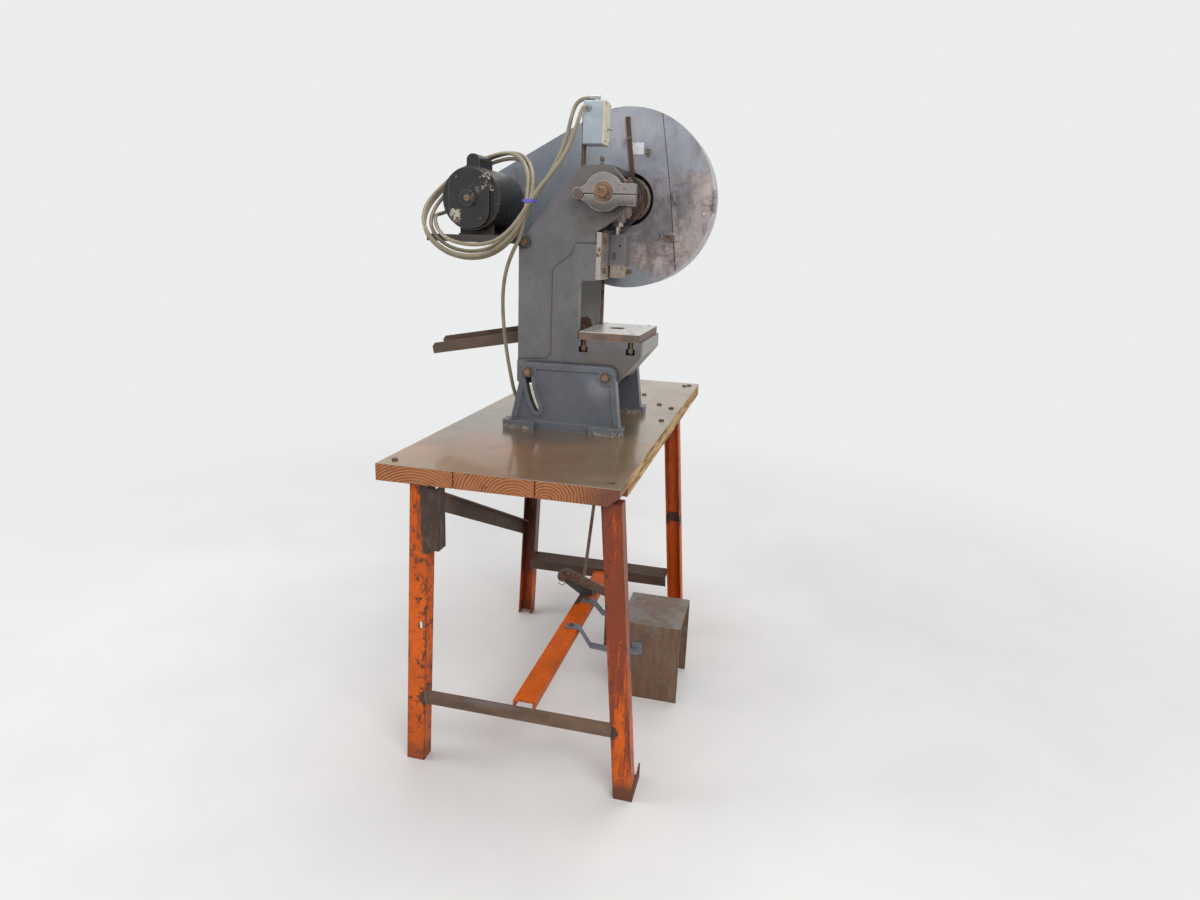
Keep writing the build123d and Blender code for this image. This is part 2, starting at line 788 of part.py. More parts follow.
with BuildPart() as frame:
    for web_start in (left_face + web, right_face - pad_lift):
        with BuildSketch(side(web_start)):
            with BuildLine():
                FilletPolyline(*frame_corners, radius=frame_radii, close=True)
            make_face()
        extrude(amount=web - pad_lift)
    for pad_start in (left_face + pad_lift, right_face):
        with BuildSketch(side(pad_start)):
            with BuildLine():
                FilletPolyline(*band_corners, radius=band_radii, close=True)
            make_face()
            with Locations((shelf_bolt_x, shelf_bolt_z)):
                Circle(13)
        extrude(amount=pad_lift)
    with BuildSketch(side(right_face)):
        Polygon(
            (bed_rear, bed_top),
            (bed_front, bed_top),
            (bed_front, bed_top - bed_nose),
            (bed_front - 18, bed_top - bed_nose - 20),
            (bed_front - 18, bed_top - bed_flange),
            (bed_rear, bed_top - bed_flange),
            align=None,
        )
    extrude(amount=frame_width)
    with BuildSketch(side(right_face - web)):
        Polygon(
            foot_corners[0],
            foot_corners[1],
            (pivot_x + 14, pivot_z - 10),
            (bed_front - 18, bed_top - bed_nose + 4),
            align=None,
        )
        Polygon(
            (rear_x, frame_foot),
            (rear_x + rear_wall, frame_foot),
            (rear_x + rear_wall, rear_wall_top),
            (rear_x, rear_wall_top),
            align=None,
        )
        Polygon(
            (rear_x, rear_window_top),
            (rear_x, shoulder_z),
            roof_rear,
            roof_front,
            crown,
            (crown[0], crown[1] - crown_wall),
            (roof_front[0] + 6, roof_front[1] - crown_wall),
            (roof_rear[0] + 12, roof_rear[1] - crown_wall + 3),
            (rear_x + crown_wall + 4, shoulder_z - 6),
            (rear_x + crown_wall + 4, rear_window_top),
            align=None,
        )
        Polygon(
            (guide_rear, throat_top),
            (guide_rear, face_top),
            (flange_rear - apart, face_top),
            (flange_rear - apart, throat_top),
            align=None,
        )
    extrude(amount=inner_width)
    for guide_start in (right_face - web, left_face + web + cheek_width):
        with BuildSketch(side(guide_start)):
            Polygon(
                (guide_rear, throat_top),
                (guide_rear, face_top),
                (face_x, face_top),
                (face_x, throat_top),
                align=None,
            )
        extrude(amount=cheek_width)
    for boss_start in boss_starts:
        with BuildSketch(side(boss_start)):
            with Locations((crank_x, crank_z)):
                Circle(boss_r)
        extrude(amount=boss_length)
    for boss_start in (left_face + web + boss_lift, right_face - web):
        with BuildSketch(side(boss_start)):
            with Locations(*tilt_spots):
                Circle(pivot_boss_r - 2)
        extrude(amount=boss_lift)
    with BuildSketch(side(left_face + pad_lift)):
        with Locations((brake_hinge_x, brake_hinge_z)):
            Circle(brake_eye_r + 1)
    extrude(amount=left_face + pad_lift - brake_far - apart)
    with BuildSketch(side(right_face - web)):
        with Locations((trip_rod_x, trip_peg_z)):
            Circle(trip_peg_r)
    extrude(amount=right_face - web - trip_rod_y + trip_arm)
    with BuildSketch(side(right_face + boss_lift)):
        with Locations((crank_x, crank_z)):
            Circle(bush_r + seat)
    extrude(amount=frame_width + 2 * boss_lift, mode=Mode.SUBTRACT)
    with BuildSketch(side(right_face)):
        with Locations(*tilt_spots):
            Circle(tilt_bolt_r + seat)
        with Locations((shelf_bolt_x, shelf_bolt_z)):
            Circle(gib_bolt_r + seat)
    extrude(amount=frame_width, mode=Mode.SUBTRACT)
    with BuildSketch(side(left_face + web)):
        with Locations((brake_hinge_x, brake_hinge_z)):
            Circle(brake_pin_r + seat)
    extrude(amount=left_face + web - brake_far, mode=Mode.SUBTRACT)
    with BuildSketch(side(right_face)):
        with Locations((trip_shaft_x, trip_shaft_z)):
            Circle(trip_shaft_r + running)
    extrude(amount=web, mode=Mode.SUBTRACT)
    with BuildSketch(level(bed_top)):
        with Locations((shank_x, press_y)):
            Circle(bed_hole_r)
        with Locations((trip_rod_x, trip_rod_y)):
            Circle(trip_hole_r)
        for bolt_x, bolt_y in bolster_bolts:
            outwards = 1 if bolt_y > press_y else -1
            with Locations((bolt_x, bolt_y + outwards * bolster_bolt_inset)):
                Rectangle(2 * bolster_bolt_r + 2, 2 * (2 * bolster_bolt_inset - 1))
    extrude(amount=-bed_flange, mode=Mode.SUBTRACT)
    with BuildSketch(level(bed_top - bed_flange)):
        for bolt_x, bolt_y in bolster_bolts:
            outwards = 1 if bolt_y > press_y else -1
            with Locations((bolt_x, bolt_y + outwards * bolster_bolt_inset)):
                Rectangle(2 * bolster_nut_r + 4, 2 * (2 * bolster_bolt_inset + 1))
    extrude(amount=-bolster_nut - 7, mode=Mode.SUBTRACT)
    with BuildSketch(level(face_top)):
        with Locations((trip_rod_x, trip_rod_y)):
            Circle(trip_hole_r)
    extrude(amount=throat_top - face_top, mode=Mode.SUBTRACT)
    with BuildSketch(front(face_x)):
        with Locations(*gib_bolts):
            Circle(gib_bolt_r + seat)
    extrude(amount=-30, mode=Mode.SUBTRACT)
frame.part.label = "frame"
export_step(frame.part, "parts/frame.step")

# Tilt bolts: a pivot bolt and a slot bolt on each side, each with its washer
washer_face = stand_outer - apart
with BuildPart() as tilt_bolts:
    with BuildSketch(side(washer_face)):
        with Locations(*tilt_spots):
            Circle(tilt_washer_r)
    extrude(amount=tilt_washer)
    with BuildSketch(side(washer_face - tilt_washer)):
        with Locations(*tilt_spots):
            RegularPolygon(tilt_head_r, 6)
    extrude(amount=tilt_head)
    with BuildSketch(side(left_face + web)):
        with Locations(*tilt_spots):
            Circle(tilt_bolt_r)
    extrude(amount=left_face + web - washer_face)
    mirror(about=middle_plane)
tilt_bolts.part.label = "tilt_bolts"
export_step(tilt_bolts.part, "parts/tilt_bolts.step")

# Bushes of the crankshaft, pressed into the webs
with BuildPart() as crank_bushes:
    for boss_start in boss_starts:
        with BuildSketch(side(boss_start)):
            with Locations((crank_x, crank_z)):
                Circle(bush_r)
                Circle(journal_r + running, mode=Mode.SUBTRACT)
        extrude(amount=boss_length)
crank_bushes.part.label = "crank_bushes"
export_step(crank_bushes.part, "parts/crank_bushes.step")

# Crankshaft with its turned nose, its cheeks and its end collar
left_cheek = press_y - pin_length / 2
right_cheek = press_y + pin_length / 2
journal_end = hub_start + hub_length + 4
with BuildPart() as crankshaft:
    with BuildSketch(side(left_cheek - cheek)):
        with Locations((crank_x, crank_z)):
            Circle(journal_r)
    extrude(amount=left_cheek - cheek - brake_near + 2)
    with BuildSketch(side(brake_near - 2)):
        with Locations((crank_x, crank_z)):
            Circle(shaft_nose_r)
    extrude(amount=shaft_nose)
    for cheek_y in (left_cheek, right_cheek + cheek):
        with BuildSketch(side(cheek_y)):
            with Locations((crank_x, crank_z)):
                Circle(cheek_r)
        extrude(amount=cheek)
    with BuildSketch(side(right_cheek)):
        with Locations((crank_x, pin_z)):
            Circle(pin_r)
    extrude(amount=pin_length)
    with BuildSketch(side(journal_end)):
        with Locations((crank_x, crank_z)):
            Circle(journal_r)
    extrude(amount=journal_end - right_cheek - cheek)
    with BuildSketch(side(journal_end + shaft_collar)):
        with Locations((crank_x, crank_z)):
            Circle(shaft_collar_r)
    extrude(amount=shaft_collar)
    chamfer(crankshaft.faces().sort_by(Axis.Y)[0].edges(), 2)
crankshaft.part.label = "crankshaft"
export_step(crankshaft.part, "parts/crankshaft.step")

# Brake drum on the left end of the shaft
with BuildPart() as brake_drum:
    with BuildSketch(side(brake_far)):
        with Locations((crank_x, crank_z)):
            Circle(drum_r)
            Circle(journal_r + seat, mode=Mode.SUBTRACT)
    extrude(amount=brake_width)
brake_drum.part.label = "brake_drum"
export_step(brake_drum.part, "parts/brake_drum.step")

# Brake shoes: two halves round the drum, hinged behind it and clamped by a bolt in front
clamp_place = (crank_x + brake_bolt_reach, brake_near + brake_width / 2)
shoe_outline = [
    (brake_hinge_x, brake_hinge_z - 10),
    (brake_hinge_x, brake_hinge_z + 10),
    (crank_x - brake_outer_r + 10, brake_hinge_z + 26),
    (crank_x, brake_hinge_z + 26),
    (crank_x, brake_hinge_z - 26),
    (crank_x - brake_outer_r + 10, brake_hinge_z - 26),
]
for shoe_name, upwards in (("brake_shoe_upper", 1), ("brake_shoe_lower", -1)):
    split_z = brake_hinge_z + upwards * brake_split / 2
    eye_far = brake_far if upwards < 0 else brake_near + brake_width / 2 - seat
    with BuildPart() as brake_shoe:
        with BuildSketch(side(brake_far)):
            with Locations((crank_x, crank_z)):
                Circle(brake_outer_r)
            Polygon(*shoe_outline, align=None)
            Polygon(
                (crank_x + drum_r, crank_z + brake_ear_top),
                (crank_x + brake_ear_reach, crank_z + brake_ear_top),
                (crank_x + brake_ear_reach, crank_z + brake_ear_bottom),
                (crank_x + drum_r, crank_z + brake_ear_bottom),
                align=None,
            )
            with Locations((brake_hinge_x, brake_hinge_z)):
                Circle(brake_eye_r + brake_split, mode=Mode.SUBTRACT)
            with Locations((crank_x, crank_z)):
                Circle(drum_r + apart, mode=Mode.SUBTRACT)
            with Locations((crank_x, split_z + upwards * brake_outer_r)):
                Rectangle(4 * brake_outer_r, 2 * brake_outer_r, mode=Mode.INTERSECT)
        extrude(amount=brake_width)
        with BuildSketch(side(eye_far)):
            with Locations((brake_hinge_x, brake_hinge_z)):
                Circle(brake_eye_r)
            Polygon(
                (brake_hinge_x, split_z),
                (brake_hinge_x + brake_eye_r + brake_split + 4, split_z),
                (brake_hinge_x + brake_eye_r + brake_split + 4, split_z + upwards * 12),
                (brake_hinge_x, split_z + upwards * 12),
                align=None,
            )
            with Locations((brake_hinge_x, brake_hinge_z)):
                Circle(brake_pin_r + seat, mode=Mode.SUBTRACT)
        extrude(amount=brake_width / 2 - seat)
        with BuildSketch(level(crank_z + brake_ear_top)):
            with Locations(clamp_place):
                Circle(brake_bolt_r + seat)
        extrude(amount=brake_ear_bottom - brake_ear_top, mode=Mode.SUBTRACT)
    brake_shoe.part.label = shoe_name
    export_step(brake_shoe.part, f"parts/{shoe_name}.step")

# Brake hinge pin, and the clamp bolt with its nuts and spring seat
brake_nut = 8.0
spring_seat = 14.0
with BuildPart() as brake_bolts:
    with BuildSketch(side(left_face + web)):
        with Locations((brake_hinge_x, brake_hinge_z)):
            Circle(brake_pin_r)
    extrude(amount=left_face + web - brake_near + seat)
    with BuildSketch(side(brake_near - seat)):
        with Locations((brake_hinge_x, brake_hinge_z)):
            Circle(brake_pin_head_r)
    extrude(amount=brake_nut)
    with BuildSketch(level(crank_z + brake_ear_top + spring_seat)):
        with Locations(clamp_place):
            Circle(brake_bolt_r)
    extrude(amount=brake_ear_bottom - brake_ear_top - 3 * spring_seat)
    for nut_z in (brake_ear_top + seat, brake_ear_bottom - seat - spring_seat - brake_nut):
        with BuildSketch(level(crank_z + nut_z)):
            with Locations(clamp_place):
                RegularPolygon(brake_nut_r, 6)
        extrude(amount=brake_nut)
    with BuildSketch(level(crank_z + brake_ear_bottom - seat)):
        with Locations(clamp_place):
            Circle(brake_nut_r - 1)
    extrude(amount=-spring_seat)
brake_bolts.part.label = "brake_bolts"
export_step(brake_bolts.part, "parts/brake_bolts.step")

# Clutch collar with its trip notch underneath
with BuildPart() as clutch_collar:
    with BuildSketch(side(clutch_start + clutch_width)):
        with Locations((crank_x, crank_z)):
            Circle(clutch_r)
            Circle(journal_r + seat, mode=Mode.SUBTRACT)
        with Locations((crank_x + clutch_notch, crank_z - clutch_r)):
            Rectangle(clutch_notch, clutch_notch, mode=Mode.SUBTRACT)
    extrude(amount=clutch_width)
clutch_collar.part.label = "clutch_collar"
export_step(clutch_collar.part, "parts/clutch_collar.step")

# Connecting rod: ring, shank and threaded socket
with BuildPart() as pitman:
    with BuildSketch(side(press_y + rod_width / 2)):
        with Locations((crank_x, pin_z)):
            Circle(pin_r + running + rod_ring)
        Polygon(
            (crank_x - rod_shank_width / 2, rod_shank_bottom),
            (crank_x + rod_shank_width / 2, rod_shank_bottom),
            (crank_x + rod_shank_width * 0.7, pin_z - pin_r),
            (crank_x - rod_shank_width * 0.7, pin_z - pin_r),
            align=None,
        )
        with Locations((crank_x, pin_z)):
            Circle(pin_r + running, mode=Mode.SUBTRACT)
    extrude(amount=rod_width)
    with BuildSketch(level(rod_shank_bottom)):
        with Locations((crank_x, press_y)):
            Circle(rod_screw_r + seat)
    extrude(amount=rod_screw_depth + seat, mode=Mode.SUBTRACT)
pitman.part.label = "pitman"
export_step(pitman.part, "parts/pitman.step")

# Ball screw of the rod and its lock nut
with BuildPart() as pitman_screw:
    with BuildSketch(level(rod_shank_bottom + rod_screw_depth)):
        with Locations((crank_x, press_y)):
            Circle(rod_screw_r)
    extrude(amount=ball_z + 2 * ball_r - rod_shank_bottom - rod_screw_depth)
    with BuildSketch(level(ball_z + 2 * ball_r)):
        with Locations((crank_x, press_y)):
            Circle(rod_neck_r)
    extrude(amount=-2 * ball_r)
    with Locations(place(crank_x, press_y, ball_z)):
        Sphere(ball_r)
    with BuildSketch(level(rod_shank_bottom - seat)):
        with Locations((crank_x, press_y)):
            RegularPolygon(rod_nut_r, 6)
    extrude(amount=-rod_nut)
pitman_screw.part.label = "pitman_screw"
export_step(pitman_screw.part, "parts/pitman_screw.step")

# Ram: a flange that slides behind the gibs and a nose between them
pocket_rear = crank_x - throw - ball_r - pocket_side
pocket_front = crank_x + ball_r + pocket_side
pocket_floor = ball_z - ball_r - pocket_under
with BuildPart() as ram:
    with BuildSketch(level(flange_bottom)):
        with Locations(((flange_rear + face_x - apart) / 2, press_y)):
            Rectangle(face_x - apart - flange_rear, flange_width)
    extrude(amount=flange_top - flange_bottom)
    with BuildSketch(level(ram_bottom)):
        with Locations(((face_x - 1 + ram_front) / 2, press_y)):
            Rectangle(ram_front - face_x + 1, ram_width)
    extrude(amount=ram_top - ram_bottom)
    chamfer(ram.faces().sort_by(Axis.X)[-1].edges(), 2)
    with BuildSketch(level(pocket_floor)):
        with Locations(((pocket_rear + pocket_front) / 2, press_y)):
            SlotOverall(pocket_front - pocket_rear, 2 * (ball_r + pocket_side))
    extrude(amount=flange_top - pocket_floor, mode=Mode.SUBTRACT)
    with BuildSketch(level(ram_bottom)):
        with Locations((shank_x, press_y)):
            Circle(shank_r)
    extrude(amount=shank_depth, mode=Mode.SUBTRACT)
    with BuildSketch(side(press_y - ram_width / 2 + 6)):
        with Locations((shank_x - 9, ram_bottom + 24)):
            SlotOverall(22, 11, rotation=90)
        with Locations((shank_x + 6, ram_top - 28)):
            Circle(4)
    extrude(amount=6, mode=Mode.SUBTRACT)
ram.part.label = "ram"
export_step(ram.part, "parts/ram.step")

# Shank clamp under the ram's nose, and its screw
clamp_bottom = ram_bottom - clamp_height
clamp_screw_z = clamp_bottom + clamp_height / 2
clamp_screw_tip = shank_x + shank_r + 1
with BuildPart() as shank_clamp:
    with BuildSketch(level(clamp_bottom)):
        with Locations((ram_front - clamp_length / 2, press_y)):
            RectangleRounded(clamp_length, ram_width, 3)
        with Locations((shank_x, press_y)):
            Circle(shank_r, mode=Mode.SUBTRACT)
    extrude(amount=clamp_height)
    with BuildSketch(front(ram_front)):
        with Locations((press_y, clamp_screw_z)):
            Circle(clamp_screw_r + seat)
    extrude(amount=shank_x - ram_front, mode=Mode.SUBTRACT)
shank_clamp.part.label = "shank_clamp"
export_step(shank_clamp.part, "parts/shank_clamp.step")

with BuildPart() as clamp_screw:
    with BuildSketch(front(clamp_screw_tip)):
        with Locations((press_y, clamp_screw_z)):
            Circle(clamp_screw_r)
    extrude(amount=ram_front + 1 - clamp_screw_tip)
    with BuildSketch(front(ram_front + 1)):
        with Locations((press_y, clamp_screw_z)):
            Rectangle(2.2 * clamp_screw_r, 2.2 * clamp_screw_r)
    extrude(amount=clamp_head)
clamp_screw.part.label = "clamp_screw"
export_step(clamp_screw.part, "parts/clamp_screw.step")

# Gibs that hold the ram's flange against the guide block
with BuildPart() as gib_left:
    with BuildSketch(front(face_x)):
        with Locations((left_face + gib_width / 2, (gib_top + gib_bottom) / 2)):
            Rectangle(gib_width, gib_top - gib_bottom)
        with Locations(*gib_bolts):
            Circle(gib_bolt_r + seat, mode=Mode.SUBTRACT)
    extrude(amount=gib_thickness)
    chamfer(gib_left.faces().sort_by(Axis.X)[-1].outer_wire().edges(), 1.5)
gib_left.part.label = "gib_left"
export_step(gib_left.part, "parts/gib_left.step")

with BuildPart() as gib_right:
    mirror(gib_left.part, about=middle_plane)
gib_right.part.label = "gib_right"
export_step(gib_right.part, "parts/gib_right.step")

# Bolster with its slug hole, tapped holes, bolt holes and a notch for the trip rod
notch_length = 2 * (trip_rod_x - bolster_rear + trip_rod_r + 3)
with BuildPart() as bolster:
    with BuildSketch(level(bed_top)):
        with Locations(((bolster_rear + bolster_front) / 2, press_y)):
            RectangleRounded(bolster_front - bolster_rear, bolster_length, 2)
        with Locations((shank_x, press_y)):
            Circle(bolster_hole_r, mode=Mode.SUBTRACT)
            with GridLocations(tapped_x, tapped_y, 2, 2):
                Circle(tapped_r, mode=Mode.SUBTRACT)
        with Locations(*bolster_bolts):
            Circle(bolster_bolt_r + seat, mode=Mode.SUBTRACT)
        with Locations((bolster_rear, trip_rod_y)):
            SlotOverall(notch_length, 2 * trip_hole_r, mode=Mode.SUBTRACT)
    extrude(amount=bolster_thickness)
    chamfer(bolster.faces().sort_by(Axis.Z)[-1].outer_wire().edges().filter_by(Axis.X), 1.5)
bolster.part.label = "bolster"
export_step(bolster.part, "parts/bolster.step")

# Bolts of the gibs, the bolster and the motor shelf
stud_bottom = bed_top - bed_flange - bolster_nut - 5
with BuildPart() as frame_bolts:
    with BuildSketch(front(face_x - 28)):
        with Locations(*gib_bolts):
            Circle(gib_bolt_r)
    extrude(amount=28 + gib_thickness)
    with BuildSketch(front(face_x + gib_thickness)):
        with Locations(*gib_bolts):
            RegularPolygon(gib_head_r, 6)
    extrude(amount=gib_head)
    with BuildSketch(level(stud_bottom)):
        with Locations(*bolster_bolts):
            Circle(bolster_bolt_r)
    extrude(amount=bed_top + bolster_thickness - 2 - stud_bottom)
    with BuildSketch(level(bed_top - bed_flange)):
        with Locations(*bolster_bolts):
            RegularPolygon(bolster_nut_r, 6)
    extrude(amount=-bolster_nut)
    for bolt_start, head_start in (
        (left_face + web, left_face - shelf_sheet),
        (right_face + shelf_sheet, right_face + shelf_sheet + gib_head),
    ):
        with BuildSketch(side(bolt_start)):
            with Locations((shelf_bolt_x, shelf_bolt_z)):
                Circle(gib_bolt_r)
        extrude(amount=web + shelf_sheet)
        with BuildSketch(side(head_start)):
            with Locations((shelf_bolt_x, shelf_bolt_z)):
                RegularPolygon(gib_head_r + 2, 6)
        extrude(amount=gib_head)
frame_bolts.part.label = "frame_bolts"
export_step(frame_bolts.part, "parts/frame_bolts.step")


def groove_points(rim):
    return [
        (belt_y - groove_mouth / 2, rim + 1),
        (belt_y + groove_mouth / 2, rim + 1),
        (belt_y + groove_floor / 2, rim - groove_depth),
        (belt_y - groove_floor / 2, rim - groove_depth),
    ]


# Flywheel: rim with a belt groove, web with windows, and a long hub
flywheel_middle = flywheel_start + flywheel_width / 2
with BuildPart() as flywheel:
    with BuildSketch(radial(crank_x, crank_z)):
        with Locations((flywheel_middle, flywheel_r - flywheel_rim / 2)):
            Rectangle(flywheel_width, flywheel_rim)
        with Locations((flywheel_middle, (flywheel_r + journal_r) / 2)):
            Rectangle(flywheel_web, flywheel_r - journal_r - flywheel_rim)
        with Locations((hub_start + hub_length / 2, (hub_r + journal_r + running) / 2)):
            Rectangle(hub_length, hub_r - journal_r - running)
        Polygon(*groove_points(flywheel_r), align=None, mode=Mode.SUBTRACT)
    revolve(axis=turned(crank_x, crank_z))
    with BuildSketch(side(flywheel_start + flywheel_width)):
        with Locations((crank_x, crank_z)):
            with PolarLocations(window_circle, window_count):
                Circle(window_r)
    extrude(amount=flywheel_width, mode=Mode.SUBTRACT)
flywheel.part.label = "flywheel"
export_step(flywheel.part, "parts/flywheel.step")

# Motor: shell with its terminal stub, end bells, rotor shaft and pulley
terminal_x = math.cos(math.radians(terminal_angle))
terminal_up = math.sin(math.radians(terminal_angle))
terminal_plane = Plane(
    origin=place(motor_x, terminal_y, motor_z), x_dir=(0, 1, 0), z_dir=(terminal_x, 0, terminal_up)
)
with BuildPart() as motor_shell:
    with BuildSketch(side(shell_end)):
        with Locations((motor_x, motor_z)):
            Circle(motor_r)
    extrude(amount=shell_end - shell_start)
    with BuildSketch(terminal_plane.offset(motor_r / 2)):
        Circle(gland_r)
    extrude(amount=motor_r / 2 + terminal_reach)
    with BuildSketch(side(shell_end)):
        with Locations((motor_x, motor_z)):
            Circle(rotor_r + 2)
    extrude(amount=shell_end - shell_start, mode=Mode.SUBTRACT)
motor_shell.part.label = "motor_shell"
export_step(motor_shell.part, "parts/motor_shell.step")

bell_start = shell_start - seat - bell_flange - bell_face
bell_end = shell_end + seat
with BuildPart() as motor_bells:
    with BuildSketch(side(shell_start - seat)):
        with Locations((motor_x, motor_z)):
            Circle(motor_r)
    extrude(amount=bell_flange)
    with BuildSketch(side(shell_start - seat - bell_flange)):
        with Locations((motor_x, motor_z)):
            RectangleRounded(bell_width, bell_height, bell_corner)
    extrude(amount=bell_face, taper=4)
    with BuildSketch(side(bell_start)):
        with Locations((motor_x, motor_z)):
            Circle(motor_hub_r)
    extrude(amount=motor_hub)
    with BuildSketch(radial(motor_x, motor_z)):
        Polygon(
            (bell_end, 0),
            (bell_end, motor_r),
            (bell_end + 8, motor_r),
            (bell_end + 22, motor_r * 0.62),
            (bell_end + 30, motor_hub_r),
            (bell_end + 30, 0),
            align=None,
        )
    revolve(axis=turned(motor_x, motor_z))
    with BuildSketch(side(bell_end + 30)):
        with Locations((motor_x, motor_z)):
            Circle(rotor_r + running)
    extrude(amount=bell_end + 30 - bell_start + motor_hub, mode=Mode.SUBTRACT)
motor_bells.part.label = "motor_bells"
export_step(motor_bells.part, "parts/motor_bells.step")

rotor_start = bell_start - motor_hub - 3
rotor_end = belt_y + pulley_width / 2 + 6
with BuildPart() as motor_shaft:
    with BuildSketch(side(rotor_end)):
        with Locations((motor_x, motor_z)):
            Circle(rotor_r)
    extrude(amount=rotor_end - rotor_start)
    chamfer(motor_shaft.edges().filter_by(GeomType.CIRCLE), 1)
motor_shaft.part.label = "motor_shaft"
export_step(motor_shaft.part, "parts/motor_shaft.step")

pulley_bore_r = rotor_r + seat
with BuildPart() as motor_pulley:
    with BuildSketch(radial(motor_x, motor_z)):
        with Locations((belt_y, (pulley_r + pulley_bore_r) / 2)):
            Rectangle(pulley_width, pulley_r - pulley_bore_r)
        with Locations((belt_y - (pulley_width + pulley_hub) / 2, (pulley_hub_r + pulley_bore_r) / 2)):
            Rectangle(pulley_hub, pulley_hub_r - pulley_bore_r)
        Polygon(*groove_points(pulley_r), align=None, mode=Mode.SUBTRACT)
    revolve(axis=turned(motor_x, motor_z))
motor_pulley.part.label = "motor_pulley"
export_step(motor_pulley.part, "parts/motor_pulley.step")

# Belt: a loop round both grooves
belt_lower = belt_sink - belt_height / 2
with BuildPart() as v_belt:
    with BuildSketch(side(belt_y + belt_width / 2)):
        with Locations((crank_x, crank_z)):
            Circle(flywheel_r - belt_lower)
        with Locations((motor_x, motor_z)):
            Circle(pulley_r - belt_lower)
        make_hull()
    extrude(amount=belt_width)
    with BuildSketch(side(belt_y + belt_width / 2)):
        with Locations((crank_x, crank_z)):
            Circle(flywheel_r - belt_lower - belt_height)
        with Locations((motor_x, motor_z)):
            Circle(pulley_r - belt_lower - belt_height)
        make_hull()
    extrude(amount=belt_width, mode=Mode.SUBTRACT)
v_belt.part.label = "v_belt"
export_step(v_belt.part, "parts/v_belt.step")

# Motor shelf with its side lips, and ears outside the webs
with BuildPart() as motor_plate:
    with BuildSketch(level(shelf_top)):
        with Locations(((shelf_rear + shelf_front) / 2, press_y)):
            Rectangle(shelf_front - shelf_rear, frame_width + 2 * shelf_sheet)
    extrude(amount=-shelf_sheet)
    for lip_start in (left_face, right_face + shelf_sheet):
        with BuildSketch(side(lip_start)):
            Polygon(
                (shelf_rear, shelf_top - shelf_lip),
                (shelf_rear, shelf_top),
                (shelf_ear - 6, shelf_top),
                (shelf_ear, shelf_top - 8),
                (shelf_ear, shelf_top - shelf_lip - 5),
                (shelf_ear - 26, shelf_top - shelf_lip - 5),
                (shelf_ear - 40, shelf_top - shelf_lip),
                align=None,
            )
            with Locations((shelf_bolt_x, shelf_bolt_z)):
                Circle(gib_bolt_r + seat, mode=Mode.SUBTRACT)
        extrude(amount=shelf_sheet)
motor_plate.part.label = "motor_plate"
export_step(motor_plate.part, "parts/motor_plate.step")

# Motor cradle: a base sheet with two saddles under the shell
with BuildPart() as motor_cradle:
    with BuildSketch(level(shelf_top)):
        with Locations((motor_x, (shell_start + shell_end) / 2)):
            Rectangle(cradle_width, shell_end - shell_start - 30)
    extrude(amount=cradle_sheet)
    for saddle_y in (shell_start + 30, shell_end - 26):
        with BuildSketch(side(saddle_y)):
            with Locations((motor_x, shelf_top + cradle_height / 2)):
                Rectangle(cradle_width, cradle_height)
            with Locations((motor_x, motor_z)):
                Circle(motor_r + seat, mode=Mode.SUBTRACT)
        extrude(amount=cradle_sheet)
motor_cradle.part.label = "motor_cradle"
export_step(motor_cradle.part, "parts/motor_cradle.step")

# Capacitor cover on top of the shell
with BuildPart() as capacitor_cover:
    with BuildSketch(side(capacitor_start + capacitor_length)):
        with BuildLine():
            FilletPolyline(
                (motor_x - capacitor_width / 2, motor_z + motor_r * 0.8),
                (motor_x + capacitor_width / 2, motor_z + motor_r * 0.8),
                (motor_x + capacitor_width / 2, capacitor_top),
                (motor_x - capacitor_width / 2, capacitor_top),
                radius=[0, 0, capacitor_corner, capacitor_corner],
                close=True,
            )
        make_face()
        with Locations((motor_x, motor_z)):
            Circle(motor_r + seat, mode=Mode.SUBTRACT)
    extrude(amount=capacitor_length)
capacitor_cover.part.label = "capacitor_cover"
export_step(capacitor_cover.part, "parts/capacitor_cover.step")

# Flywheel guard: a rim band with a back sheet and the outer knuckles of the door's hinge
lower_knuckle = crank_z - 1.5 * knuckle_length
upper_knuckle = crank_z + 0.5 * knuckle_length + apart
with BuildPart() as guard_shell:
    with BuildSketch(side(guard_back_y)):
        with Locations((guard_x, crank_z)):
            Circle(guard_r)
        with Locations((motor_x, motor_z)):
            Circle(guard_nose_r)
        make_hull()
    extrude(amount=guard_depth - guard_sheet - apart)
    with BuildSketch(side(guard_back_y - guard_sheet)):
        with Locations((guard_x, crank_z)):
            Circle(guard_r - guard_sheet)
        with Locations((motor_x, motor_z)):
            Circle(guard_nose_r - guard_sheet)
        make_hull()
    extrude(amount=guard_depth, mode=Mode.SUBTRACT)
    with BuildSketch(side(guard_back_y)):
        with Locations((crank_x, crank_z)):
            Circle(guard_back_hole_r)
    extrude(amount=guard_sheet, mode=Mode.SUBTRACT)
    with BuildSketch(level(lower_knuckle)):
        with Locations((door_hinge_x, door_hinge_y)):
            Circle(hinge_pin_r)
    extrude(amount=3 * knuckle_length)
    for knuckle_z in (lower_knuckle, upper_knuckle):
        with BuildSketch(level(knuckle_z)):
            with Locations((door_hinge_x, door_hinge_y)):
                Circle(knuckle_r)
            with Locations((door_hinge_x + knuckle_r - 1.5, guard_face_y + 5)):
                Rectangle(3, 22)
            with Locations((door_hinge_x, guard_face_y + 13)):
                Rectangle(10, 6)
        extrude(amount=knuckle_length - apart)
guard_shell.part.label = "guard_shell"
export_step(guard_shell.part, "parts/guard_shell.step")

